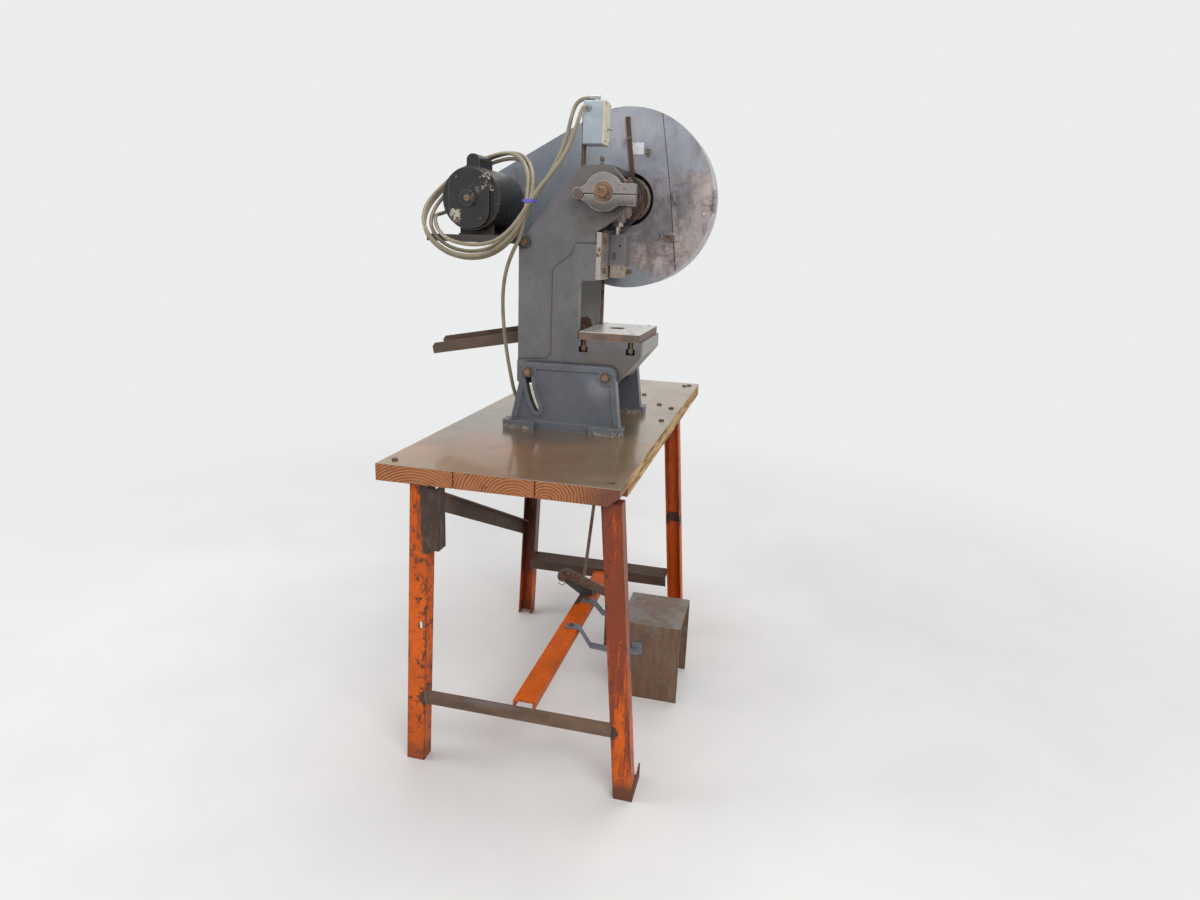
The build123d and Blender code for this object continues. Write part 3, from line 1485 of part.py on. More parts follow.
# Guard face with its stand-offs to the frame and the staple of the hasp
door_corners = [
    (seam_top_x, crank_z + guard_r + 10),
    (seam_middle_x, seam_middle_z),
    (seam_bottom_x, crank_z - guard_r - 10),
    (guard_x + 2 * guard_r, crank_z - guard_r - 10),
    (guard_x + 2 * guard_r, crank_z + guard_r + 10),
]
standoffs = [(crank_x - 110, crank_z - 45), (rear_x + 52, shoulder_z + 22), (crank_x - 105, shoulder_z - 8)]
with BuildPart() as guard_face:
    with BuildSketch(side(guard_face_y + guard_sheet)):
        with Locations((guard_x, crank_z)):
            Circle(guard_r)
        with Locations((motor_x, motor_z)):
            Circle(guard_nose_r)
        make_hull()
        with Locations((guard_hole_x, crank_z)):
            Circle(guard_hole_r, mode=Mode.SUBTRACT)
        with Locations((motor_x, motor_z)):
            Circle(motor_hole_r, mode=Mode.SUBTRACT)
        Polygon(*door_corners, align=None, mode=Mode.SUBTRACT)
    extrude(amount=guard_sheet)
    with BuildSketch(side(guard_face_y)):
        with Locations(*standoffs):
            Circle(9)
    extrude(amount=guard_face_y - right_face + pad_lift - seat)
    with BuildSketch(side(guard_face_y)):
        with Locations((hasp_x, hasp_z)):
            Rectangle(staple_width, staple_height)
    extrude(amount=11)
guard_face.part.label = "guard_face"
export_step(guard_face.part, "parts/guard_face.step")

# Door of the guard with its knuckle, hasp and pull
pull_x = seam_middle_x + 16
pull_z = crank_z + 6
with BuildPart() as guard_door:
    with BuildSketch(side(guard_face_y + guard_sheet)):
        with Locations((guard_x, crank_z)):
            Circle(guard_r)
        Polygon(*[(x + seam_gap, z) for x, z in door_corners], align=None, mode=Mode.INTERSECT)
    extrude(amount=guard_sheet)
    with BuildSketch(level(crank_z - knuckle_length / 2 + apart)):
        with Locations((door_hinge_x, door_hinge_y)):
            Circle(knuckle_r)
        with Locations((door_hinge_x - 16, guard_face_y)):
            Rectangle(32, 2.5)
        with Locations((door_hinge_x, door_hinge_y)):
            Circle(hinge_pin_r + apart, mode=Mode.SUBTRACT)
    extrude(amount=knuckle_length - apart)
    with BuildSketch(side(guard_face_y)):
        with Locations((hasp_x + hasp_length / 2 - 10, hasp_z)):
            Rectangle(hasp_length, hasp_height)
        with Locations((hasp_x, hasp_z)):
            Rectangle(staple_width + 2, staple_height + 2, mode=Mode.SUBTRACT)
        with Locations((pull_x, pull_z)):
            RectangleRounded(22, 34, 4)
    extrude(amount=guard_sheet)
    with BuildSketch(side(guard_face_y - guard_sheet)):
        with Locations((pull_x, pull_z)):
            RectangleRounded(8, 26, 3)
    extrude(amount=12)
guard_door.part.label = "guard_door"
export_step(guard_door.part, "parts/guard_door.step")

# Strap from the head of the frame up the guard's face
strap_lean = math.degrees(math.atan2(strap_foot_x - strap_top_x, strap_top_z - crown[1]))
strap_length = math.hypot(strap_top_x - strap_foot_x, strap_top_z - crown[1])
with BuildPart() as guard_strap:
    with BuildSketch(side(guard_face_y - seat)):
        with Locations(((strap_top_x + strap_foot_x) / 2, (strap_top_z + crown[1]) / 2)):
            Rectangle(strap_width, strap_length, rotation=strap_lean)
    extrude(amount=strap_thickness)
    with BuildSketch(side(guard_face_y - seat)):
        with Locations((strap_foot_x, crown[1] - 1)):
            Rectangle(strap_width + 2, strap_width)
    extrude(amount=guard_face_y - right_face + pad_lift - 2 * seat)
guard_strap.part.label = "guard_strap"
export_step(guard_strap.part, "parts/guard_strap.step")

# Switch bracket: a bar that stands on the sloping roof of the frame
roof_slope = (roof_front[1] - roof_rear[1]) / (roof_front[0] - roof_rear[0])
roof_at_box = roof_rear[1] + roof_slope * (box_x - roof_rear[0])
bracket_toe = 14.0
box_middle_y = box_left + box_width / 2
bracket_top = box_bottom + box_height * 0.7
with BuildPart() as switch_bracket:
    with BuildSketch(side(box_middle_y + bracket_width / 2)):
        Polygon(
            (box_x - bracket_bar, roof_at_box - roof_slope * bracket_bar),
            (box_x + bracket_toe, roof_at_box + roof_slope * bracket_toe),
            (box_x + bracket_toe, roof_at_box + roof_slope * bracket_toe + bracket_bar),
            (box_x, roof_at_box + bracket_bar),
            (box_x, bracket_top),
            (box_x - bracket_bar, bracket_top),
            align=None,
        )
    extrude(amount=bracket_width)
switch_bracket.part.label = "switch_bracket"
export_step(switch_bracket.part, "parts/switch_bracket.step")

# Switch box, its cover and the toggle
box_middle = (box_middle_y, box_bottom + box_height / 2)
with BuildPart() as switch_box:
    with BuildSketch(front(box_x)):
        with Locations(box_middle):
            RectangleRounded(box_width, box_height, 5)
    extrude(amount=box_depth)
    with BuildSketch(front(box_x + box_wall)):
        with Locations(box_middle):
            RectangleRounded(box_width - 2 * box_wall, box_height - 2 * box_wall, 3)
    extrude(amount=box_depth, mode=Mode.SUBTRACT)
switch_box.part.label = "switch_box"
export_step(switch_box.part, "parts/switch_box.step")

cover_face = box_x + box_depth
with BuildPart() as switch_cover:
    with BuildSketch(front(cover_face)):
        with Locations(box_middle):
            RectangleRounded(box_width + 2, box_height + 2, 5)
        with Locations((box_middle_y, toggle_z)):
            Circle(toggle_ball_r + apart, mode=Mode.SUBTRACT)
    extrude(amount=cover_thickness)
    chamfer(switch_cover.faces().sort_by(Axis.X)[-1].outer_wire().edges(), 1.5)
switch_cover.part.label = "switch_cover"
export_step(switch_cover.part, "parts/switch_cover.step")

toggle_x = cover_face + cover_thickness / 2
with BuildPart() as switch_toggle:
    with BuildSketch(side(box_middle_y)):
        with Locations((toggle_x, toggle_z)):
            Circle(toggle_ball_r)
        with Locations((toggle_x + toggle_length / 2, toggle_z)):
            Rectangle(toggle_length, 2 * toggle_r)
        with Locations((toggle_x, toggle_z - toggle_length)):
            Rectangle(4 * toggle_length, 2 * toggle_length, mode=Mode.SUBTRACT)
    revolve(axis=Axis(place(toggle_x, box_middle_y, toggle_z), (1, 0, 0)))
switch_toggle.part.label = "switch_toggle"
export_step(switch_toggle.part, "parts/switch_toggle.step")

# Cord glands: one on the left wall of the box and an elbow on its top
side_gland = (box_x + 13, box_bottom + box_height - 18)
elbow_x = box_x + 29
elbow_z = box_bottom + box_height + elbow_height
elbow_end = elbow_x - gland_length
with BuildPart() as cord_glands:
    with BuildSketch(side(box_left)):
        with Locations(side_gland):
            Circle(gland_r)
    extrude(amount=gland_length, taper=6)
    with BuildSketch(level(box_bottom + box_height)):
        with Locations((elbow_x, box_middle_y)):
            Circle(elbow_r)
    extrude(amount=elbow_height)
    with BuildSketch(front(elbow_end)):
        with Locations((box_middle_y, elbow_z)):
            Circle(elbow_r)
    extrude(amount=gland_length + elbow_r)
cord_glands.part.label = "cord_glands"
export_step(cord_glands.part, "parts/cord_glands.step")

# Chute: a bent sheet that slopes down to the rear, through the frame's back window
chute_length = (chute_front - chute_rear) / math.cos(chute_angle)
chute_start_z = bed_top - (bed_rear - chute_rear) * math.tan(chute_angle)
chute_plane = Plane(
    origin=place(chute_rear, chute_left, chute_start_z),
    x_dir=(0, 1, 0),
    z_dir=(math.cos(chute_angle), 0, math.sin(chute_angle)),
)
with BuildPart() as chute:
    with BuildSketch(chute_plane):
        Polygon(
            (0, chute_side),
            (0, 0),
            (chute_width, 0),
            (chute_width, chute_far_side),
            (chute_width - chute_sheet, chute_far_side),
            (chute_width - chute_sheet, chute_sheet),
            (chute_sheet, chute_sheet),
            (chute_sheet, chute_side),
            align=None,
        )
    extrude(amount=chute_length)
    wall_ends = chute.edges().filter_by(Axis.Y).filter_by(lambda edge: edge.length < 2 * chute_sheet)
    chamfer(wall_ends, chute_chamfer)
chute.part.label = "chute"
export_step(chute.part, "parts/chute.step")

# Bracket of the treadle, welded to the middle bar, and the pin in it
bracket_near = treadle_y + treadle_hub + apart
with BuildPart() as treadle_bracket:
    with BuildSketch(side(bracket_near + bracket_plate)):
        with Locations((treadle_x, treadle_z)):
            Circle(treadle_hub_r + 2)
        Polygon(
            (treadle_x - 5, treadle_z - treadle_hub_r - 1),
            (middle_bar_x + 2, middle_bar_top),
            (middle_bar_x + bracket_foot, middle_bar_top),
            (middle_bar_x + bracket_foot, middle_bar_top + 22),
            (treadle_x + 8, treadle_z + treadle_hub_r),
            align=None,
        )
        with Locations((treadle_x, treadle_z)):
            Circle(treadle_pin_r + seat, mode=Mode.SUBTRACT)
    extrude(amount=bracket_plate)
    with BuildSketch(level(middle_bar_top)):
        with Locations((middle_bar_x + 2 + bracket_foot / 2, bracket_near + bracket_foot / 2)):
            Rectangle(bracket_foot, bracket_foot)
    extrude(amount=bar_wall)
treadle_bracket.part.label = "treadle_bracket"
export_step(treadle_bracket.part, "parts/treadle_bracket.step")

pin_end = bracket_near + bracket_plate + 2
with BuildPart() as treadle_pin:
    with BuildSketch(side(pin_end)):
        with Locations((treadle_x, treadle_z)):
            Circle(treadle_pin_r)
    extrude(amount=pin_end - treadle_y + apart)
    with BuildSketch(side(treadle_y - apart)):
        with Locations((treadle_x, treadle_z)):
            Circle(treadle_pin_head_r)
    extrude(amount=treadle_pin_head)
treadle_pin.part.label = "treadle_pin"
export_step(treadle_pin.part, "parts/treadle_pin.step")

# Treadle: a bent bar with its hub at the back and the pedal in front
drop_front = treadle_drop_x + 12
with BuildPart() as treadle:
    with BuildSketch(side(treadle_y + treadle_bar)):
        Polygon(
            (treadle_x - 4, treadle_z + 15),
            (treadle_x + 14, treadle_z + 30),
            (treadle_drop_x + 2, treadle_z - 19),
            (drop_front, treadle_z - 25),
            (drop_front, pedal_z - 2),
            (pedal_x + pedal_length, pedal_z - 2),
            (pedal_x + pedal_length, pedal_z - 12),
            (drop_front + 14, pedal_z - 24),
            (treadle_drop_x, pedal_z - 24),
            (treadle_drop_x, treadle_z - 46),
            (treadle_x + 8, treadle_z - 2),
            align=None,
        )
    extrude(amount=treadle_bar)
    with BuildSketch(side(treadle_y + treadle_hub)):
        with Locations((treadle_x, treadle_z)):
            Circle(treadle_hub_r)
    extrude(amount=treadle_hub)
    with BuildSketch(side(treadle_y + treadle_hub)):
        with Locations((treadle_x, treadle_z)):
            Circle(treadle_pin_r + running)
    extrude(amount=treadle_hub, mode=Mode.SUBTRACT)
    with BuildSketch(level(pedal_z)):
        with Locations((pedal_x + pedal_length / 2, (pedal_left + treadle_y + treadle_bar) / 2)):
            RectangleRounded(pedal_length, treadle_y + treadle_bar - pedal_left, 6)
    extrude(amount=-treadle_bar)
treadle.part.label = "treadle"
export_step(treadle.part, "parts/treadle.step")

# Guard over the pedal: a folded sheet, open in front and behind
with BuildPart() as pedal_guard:
    with BuildSketch(front(pedal_guard_rear)):
        Polygon(
            (pedal_guard_left, floor),
            (pedal_guard_left, floor + pedal_guard_height),
            (pedal_guard_right, floor + pedal_guard_height),
            (pedal_guard_right, floor),
            (pedal_guard_right - pedal_guard_sheet, floor),
            (pedal_guard_right - pedal_guard_sheet, floor + pedal_guard_height - pedal_guard_sheet),
            (pedal_guard_left + pedal_guard_sheet, floor + pedal_guard_height - pedal_guard_sheet),
            (pedal_guard_left + pedal_guard_sheet, floor),
            align=None,
        )
    extrude(amount=pedal_guard_front - pedal_guard_rear)
    fillet(pedal_guard.edges().filter_by(Axis.X).group_by(Axis.Z)[-1], pedal_guard_sheet + 1)
pedal_guard.part.label = "pedal_guard"
export_step(pedal_guard.part, "parts/pedal_guard.step")


def strap_outline(points):
    """A bent strap whose upper face passes through the points."""
    return [*points, *[(x, z - arm_thickness) for x, z in reversed(points)]]


# Arms from the middle bar to the pedal guard
near_arm_end_y = pedal_guard_left - arm_thickness / 2 - arm_width / 2
near_arm_turn = math.atan2(near_arm_end_y - near_arm_y, near_arm_end_x - arm_bolt_x)
near_arm_length = (near_arm_end_x - arm_bolt_x) / math.cos(near_arm_turn)
near_arm_plane = Plane(
    origin=place(arm_bolt_x, near_arm_y, arm_bolt_seat),
    x_dir=(math.cos(near_arm_turn), math.sin(near_arm_turn), 0),
    z_dir=(math.sin(near_arm_turn), -math.cos(near_arm_turn), 0),
)
near_arm_points = [
    (-14, 0),
    (22, 0),
    (56, -near_arm_drop),
    (110, -near_arm_drop - 8),
    (near_arm_length, -near_arm_drop - 8),
]
guard_under = floor + pedal_guard_height - pedal_guard_sheet - seat
far_arm_points = [
    (arm_bolt_x - 14, arm_bolt_seat),
    (arm_bolt_x + 22, arm_bolt_seat),
    (arm_bolt_x + 52, arm_bolt_seat - far_arm_drop),
    (arm_bolt_x + 90, arm_bolt_seat - far_arm_drop - 3),
    (pedal_guard_rear + 6, guard_under),
    (pedal_guard_rear + 60, guard_under),
]
with BuildPart() as pedal_guard_arms:
    with BuildSketch(near_arm_plane):
        Polygon(*strap_outline(near_arm_points), align=None)
    extrude(amount=arm_width / 2, both=True)
    with BuildSketch(side(pedal_guard_left)):
        with Locations((near_arm_end_x - arm_tab_length / 4, arm_bolt_seat - near_arm_drop - 6)):
            Rectangle(arm_tab_length, arm_tab_height)
    extrude(amount=arm_thickness)
    with BuildSketch(side(far_arm_y + arm_width / 2)):
        Polygon(*strap_outline(far_arm_points), align=None)
    extrude(amount=arm_width)
    with BuildSketch(level(arm_bolt_seat)):
        with Locations(*arm_bolts):
            Circle(bench_bolt_r + seat)
    extrude(amount=-arm_thickness, mode=Mode.SUBTRACT)
pedal_guard_arms.part.label = "pedal_guard_arms"
export_step(pedal_guard_arms.part, "parts/pedal_guard_arms.step")

# Trip rod from the trip lever down to the treadle
trip_arm_under = trip_shaft_z - trip_arm_height / 2 - 2
trip_rod_top = trip_arm_under - 2 * apart
trip_route = [
    place(trip_rod_x, trip_rod_y, trip_rod_top),
    place(trip_rod_x, trip_rod_y, trip_rod_bend),
    place(trip_rod_x - 6, treadle_y + treadle_bar / 2, trip_rod_end),
]
with BuildPart() as trip_rod:
    with BuildLine():
        FilletPolyline(*trip_route, radius=60)
    with BuildSketch(level(trip_rod_top)):
        with Locations((trip_rod_x, trip_rod_y)):
            Circle(trip_rod_r)
    sweep()
trip_rod.part.label = "trip_rod"
export_step(trip_rod.part, "parts/trip_rod.step")

# Trip lever: a shaft through the right web, an arm over the rod and a finger under the clutch collar
finger_top = crank_z - clutch_r - 1.5
finger_start = right_face + boss_lift + 1
trip_inner = trip_rod_y - trip_arm / 2
with BuildPart() as trip_lever:
    with BuildSketch(side(finger_start + trip_arm)):
        with Locations((trip_shaft_x, trip_shaft_z)):
            Circle(trip_shaft_r)
    extrude(amount=finger_start + trip_arm - trip_inner)
    with BuildSketch(side(trip_inner + trip_arm)):
        with Locations((trip_shaft_x, trip_shaft_z)):
            Circle(trip_hub_r)
        Polygon(
            (trip_shaft_x, trip_arm_under),
            (trip_rod_x + trip_rod_r + 1, trip_arm_under),
            (trip_rod_x + trip_rod_r + 1, trip_arm_under + trip_arm_height),
            (trip_shaft_x, trip_arm_under + trip_arm_height),
            align=None,
        )
    extrude(amount=trip_arm)
    with BuildSketch(side(finger_start + trip_arm)):
        with Locations((trip_shaft_x, trip_shaft_z)):
            Circle(trip_hub_r)
        Polygon(
            (trip_shaft_x, trip_shaft_z - 10),
            (crank_x - 4, finger_top - 12),
            (crank_x, finger_top),
            (crank_x - 16, finger_top),
            (trip_shaft_x + 20, trip_shaft_z + 8),
            (trip_shaft_x, trip_shaft_z + 10),
            align=None,
        )
    extrude(amount=trip_arm)
trip_lever.part.label = "trip_lever"
export_step(trip_lever.part, "parts/trip_lever.step")

# Trip spring between the arm and the peg in the frame, its turns as a row of ridges
spring_bottom = trip_arm_under + trip_arm_height + 2 * apart
spring_top = trip_peg_z - trip_peg_r - apart
spring_pitch = (spring_top - spring_bottom) / trip_spring_turns
spring_points = [(trip_spring_r - 2 * trip_spring_wire, spring_bottom)]
for turn in range(trip_spring_turns):
    spring_points.append((trip_spring_r - trip_spring_wire, spring_bottom + turn * spring_pitch))
    spring_points.append((trip_spring_r, spring_bottom + (turn + 0.5) * spring_pitch))
spring_points.append((trip_spring_r - trip_spring_wire, spring_top))
spring_points.append((trip_spring_r - 2 * trip_spring_wire, spring_top))
with BuildPart() as trip_spring:
    with BuildSketch(Plane(origin=place(trip_rod_x, trip_rod_y, 0), x_dir=(1, 0, 0), z_dir=(0, -1, 0))):
        Polygon(*spring_points, align=None)
    revolve(axis=Axis(place(trip_rod_x, trip_rod_y, 0), (0, 0, 1)))
trip_spring.part.label = "trip_spring"
export_step(trip_spring.part, "parts/trip_spring.step")


def bend_radii(route, closed=False):
    """The radius of each bend of a cord's route, as large as its two runs allow."""
    corners = [Vector(*point) for point in route]
    before = [corners[-1], *corners[:-1]]
    after = [*corners[1:], corners[0]]
    radii = []
    for start, corner, end in zip(before, corners, after):
        turn = math.radians((corner - start).get_angle(end - corner))
        radii.append(0.45 * min((corner - start).length, (end - corner).length) / math.tan(turn / 2))
    kept = radii if closed else radii[1:-1]
    print("bend radii", [round(radius) for radius in kept])
    return kept


# Cord from the switch box to the motor, through the tie and under the loops
motor_route = [
    place(side_gland[0], box_left - gland_length, side_gland[1]),
    place(side_gland[0], box_left - gland_length - 18, side_gland[1]),
    place(318, 480, 796),
    place(312, 474, 772),
    place(300, 472, 732),
    place(281, 462, 690),
    place(253, 448, 648),
    place(222, 430, 606),
    place(196, 420, 560),
    place(165, 416, 516),
    place(125, 415, 484),
    place(78, 416, 472),
    place(30, 418, 473),
    place(-14, 424, 483),
    place(-46, 440, 504),
    place(-66, 466, 524),
    place(-79, 492, 537),
    place(-88, 516, 545),
    place(
        motor_x + (motor_r + terminal_reach + 18) * terminal_x,
        terminal_y,
        motor_z + (motor_r + terminal_reach + 18) * terminal_up,
    ),
    place(
        motor_x + (motor_r + terminal_reach) * terminal_x,
        terminal_y,
        motor_z + (motor_r + terminal_reach) * terminal_up,
    ),
]
with BuildPart() as cord_motor:
    with BuildLine():
        FilletPolyline(*motor_route, radius=bend_radii(motor_route))
    with BuildSketch(Plane(origin=motor_route[0], z_dir=Vector(*motor_route[1]) - Vector(*motor_route[0]))):
        Circle(cord_r)
    sweep()
cord_motor.part.label = "cord_motor"
export_step(cord_motor.part, "parts/cord_motor.step")

# Supply cord from the top of the switch box to its loops
supply_route = [
    place(elbow_end, box_middle_y, elbow_z),
    place(elbow_end - 18, box_middle_y, elbow_z),
    place(285, 555, 828),
    place(276, 549, 804),
    place(270, 538, 762),
    place(264, 516, 718),
    place(252, 490, 674),
    place(232, 468, 630),
    place(204, 456, 592),
]
with BuildPart() as cord_supply:
    with BuildLine():
        FilletPolyline(*supply_route, radius=bend_radii(supply_route))
    with BuildSketch(Plane(origin=supply_route[0], z_dir=(-1, 0, 0))):
        Circle(cord_r)
    sweep()
cord_supply.part.label = "cord_supply"
export_step(cord_supply.part, "parts/cord_supply.step")

# Loops of the supply cord's slack, hung over the motor and in front of its shelf
coil_route = [
    place(198, 452, 582),
    place(190, 490, 645),
    place(150, 545, 690),
    place(95, 592, 706),
    place(35, 616, 698),
    place(-35, 604, 668),
    place(-86, 562, 612),
    place(-104, 506, 562),
    place(-86, 450, 512),
    place(-38, 442, 464),
    place(30, 442, 446),
    place(100, 442, 458),
    place(162, 444, 508),
]
coil_radii = bend_radii(coil_route, closed=True)
coil_half = len(coil_route) // 2
first_seam = (Vector(*coil_route[0]) + Vector(*coil_route[1])) * 0.5
second_seam = (Vector(*coil_route[coil_half]) + Vector(*coil_route[coil_half + 1])) * 0.5
coil_halves = [
    (first_seam, coil_route[1 : coil_half + 1], second_seam, coil_radii[1 : coil_half + 1]),
    (
        second_seam,
        [*coil_route[coil_half + 1 :], coil_route[0]],
        first_seam,
        [*coil_radii[coil_half + 1 :], coil_radii[0]],
    ),
]
with BuildPart() as cord_coil:
    for seam_start, corners, seam_end, radii in coil_halves:
        with BuildLine():
            FilletPolyline(seam_start, *corners, seam_end, radius=radii)
        with BuildSketch(Plane(origin=seam_start, z_dir=Vector(*corners[0]) - seam_start)):
            Circle(coil_r)
        sweep()
cord_coil.part.label = "cord_coil"
export_step(cord_coil.part, "parts/cord_coil.step")

# Supply lead from the loops down to the bench, and its plug behind the left side of the stand
lead_route = [
    place(193.5, 449, 536),
    place(178, 450, 500),
    place(154, 456, 462),
    place(131, 470, 418),
    place(115, 486, 364),
    place(110, 497, 304),
    place(113, 503, 240),
    place(121, 505, 180),
    place(130, 507, 130),
    place(138, 511, 86),
    place(152, 518, 48),
    place(178, 530, 18),
    place(212, 544, 5.6),
    place(248, 553, 5.4),
    place(280, 558, 9.5),
    place(plug_x - 26, plug_y, plug_r + seat),
    place(plug_x, plug_y, plug_r + seat),
]
with BuildPart() as cord_lead:
    with BuildLine():
        FilletPolyline(*lead_route, radius=bend_radii(lead_route))
    with BuildSketch(Plane(origin=lead_route[0], z_dir=Vector(*lead_route[1]) - Vector(*lead_route[0]))):
        Circle(cord_r)
    sweep()
cord_lead.part.label = "cord_lead"
export_step(cord_lead.part, "parts/cord_lead.step")

blade_length = 17.0
with BuildPart() as plug:
    with BuildSketch(front(plug_x)):
        with Locations((plug_y, plug_r + seat)):
            Circle(plug_r * 0.6)
    extrude(amount=plug_length / 2)
    with BuildSketch(front(plug_x + plug_length / 3)):
        with Locations((plug_y, plug_r + seat)):
            Circle(plug_r)
    extrude(amount=plug_length * 2 / 3)
    with BuildSketch(front(plug_x + plug_length)):
        with Locations((plug_y - 6.3, plug_r + 3), (plug_y + 6.3, plug_r + 3)):
            Rectangle(1.6, 6.5)
        with Locations((plug_y, plug_r - 8)):
            Circle(2.4)
    extrude(amount=blade_length)
plug.part.label = "plug"
export_step(plug.part, "parts/plug.step")

for cord, section_r, name in (
    (cord_motor, cord_r, "cord_motor"),
    (cord_supply, cord_r, "cord_supply"),
    (cord_coil, coil_r, "cord_coil"),
    (cord_lead, cord_r, "cord_lead"),
):
    print(name, "length", round(cord.part.volume / (math.pi * section_r**2)))
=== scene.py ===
import json
import math

import bmesh
import bpy
from mathutils import Matrix, Vector


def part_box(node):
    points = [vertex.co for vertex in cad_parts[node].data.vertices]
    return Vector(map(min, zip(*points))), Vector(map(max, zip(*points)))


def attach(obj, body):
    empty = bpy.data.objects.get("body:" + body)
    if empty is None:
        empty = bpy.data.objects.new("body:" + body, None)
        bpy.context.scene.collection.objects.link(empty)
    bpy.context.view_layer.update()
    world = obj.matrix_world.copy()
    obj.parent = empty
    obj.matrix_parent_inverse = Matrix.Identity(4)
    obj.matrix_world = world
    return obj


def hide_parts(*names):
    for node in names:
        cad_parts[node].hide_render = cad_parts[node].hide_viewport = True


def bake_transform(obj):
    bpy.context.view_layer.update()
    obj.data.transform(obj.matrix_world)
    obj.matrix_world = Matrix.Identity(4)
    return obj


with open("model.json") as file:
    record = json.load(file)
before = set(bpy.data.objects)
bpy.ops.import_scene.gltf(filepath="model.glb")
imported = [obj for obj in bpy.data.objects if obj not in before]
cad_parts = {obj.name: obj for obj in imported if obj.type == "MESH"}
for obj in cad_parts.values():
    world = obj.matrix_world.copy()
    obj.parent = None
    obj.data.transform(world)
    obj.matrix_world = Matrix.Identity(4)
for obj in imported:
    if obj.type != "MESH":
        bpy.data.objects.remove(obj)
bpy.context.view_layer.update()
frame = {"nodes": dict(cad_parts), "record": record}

# Places are measured in millimetres from the rear left corner of the bench top, as in the part's source
MM = 0.001
rear_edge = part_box("bench_planks")[0].x
left_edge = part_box("bench_planks")[0].y
bench_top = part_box("bench_plate")[1].z
START = {"X": rear_edge, "Y": left_edge, "Z": bench_top}
crank_centre = (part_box("crank_bushes")[0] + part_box("crank_bushes")[1]) / 2


def place(x, y, z):
    return Vector((rear_edge + x * MM, left_edge + y * MM, bench_top + z * MM))


def millimetres(value, start):
    return (value - start) / MM


def add_object(name, data):
    made = bpy.data.objects.new(name, data)
    bpy.context.scene.collection.objects.link(made)
    return made


# Camera: its place, directions and focal length were found from the photograph's straight edges
CAMERA_PLACE = place(866, -1485, 494)
CAMERA_RIGHT = Vector((0.9698, 0.2414, 0.0361)).normalized()
CAMERA_UP = Vector((-0.0969, 0.2451, 0.9646))
FOCAL_LENGTH = 23.22
SENSOR_WIDTH = 36.0
FLOOR_SIZE = 60


def make_camera():
    data = bpy.data.cameras.new("camera")
    data.sensor_width = SENSOR_WIDTH
    data.lens = FOCAL_LENGTH
    data.clip_start = 0.05
    data.clip_end = FLOOR_SIZE
    camera = add_object("camera", data)
    up = (CAMERA_UP - CAMERA_RIGHT * CAMERA_UP.dot(CAMERA_RIGHT)).normalized()
    turn = Matrix((CAMERA_RIGHT, up, CAMERA_RIGHT.cross(up))).transposed().to_4x4()
    camera.matrix_world = Matrix.Translation(CAMERA_PLACE) @ turn
    bpy.context.scene.camera = camera


make_camera()
bpy.context.scene.view_settings.view_transform = "Standard"


# Node graphs
class Nodes:
    """A node tree, with short words for what is added to it."""

    def __init__(self, tree):
        self.tree = tree

    def put(self, value, socket):
        if isinstance(value, bpy.types.NodeSocket):
            self.tree.links.new(value, socket)
        elif isinstance(value, (tuple, list)) and len(value) == 3 and socket.type == "RGBA":
            socket.default_value = (*value, 1.0)
        else:
            socket.default_value = value

    def fill(self, made, inputs):
        """Join or set a node's inputs, by their names or numbers."""
        for key, value in inputs.items():
            self.put(value, made.inputs[key])
        return made

    def add(self, kind, inputs=None, **settings):
        made = self.tree.nodes.new(kind)
        for key, value in settings.items():
            setattr(made, key, value)
        return self.fill(made, inputs or {})

    def math(self, kind, first, second=0.0, clamp=False):
        return self.add("ShaderNodeMath", {0: first, 1: second}, operation=kind, use_clamp=clamp).outputs[0]

    def seen(self):
        """1 for rays straight from the camera or off a shiny face."""
        paths = self.add("ShaderNodeLightPath")
        return self.math("MAXIMUM", paths.outputs["Is Camera Ray"], paths.outputs["Is Glossy Ray"])

    def show(self, share, first, second, output):
        """Send a mix of two shaders to the output node."""
        join = self.add("ShaderNodeMixShader", {"Fac": share, 1: first.outputs[0], 2: second.outputs[0]})
        self.put(join.outputs["Shader"], self.tree.nodes[output].inputs["Surface"])


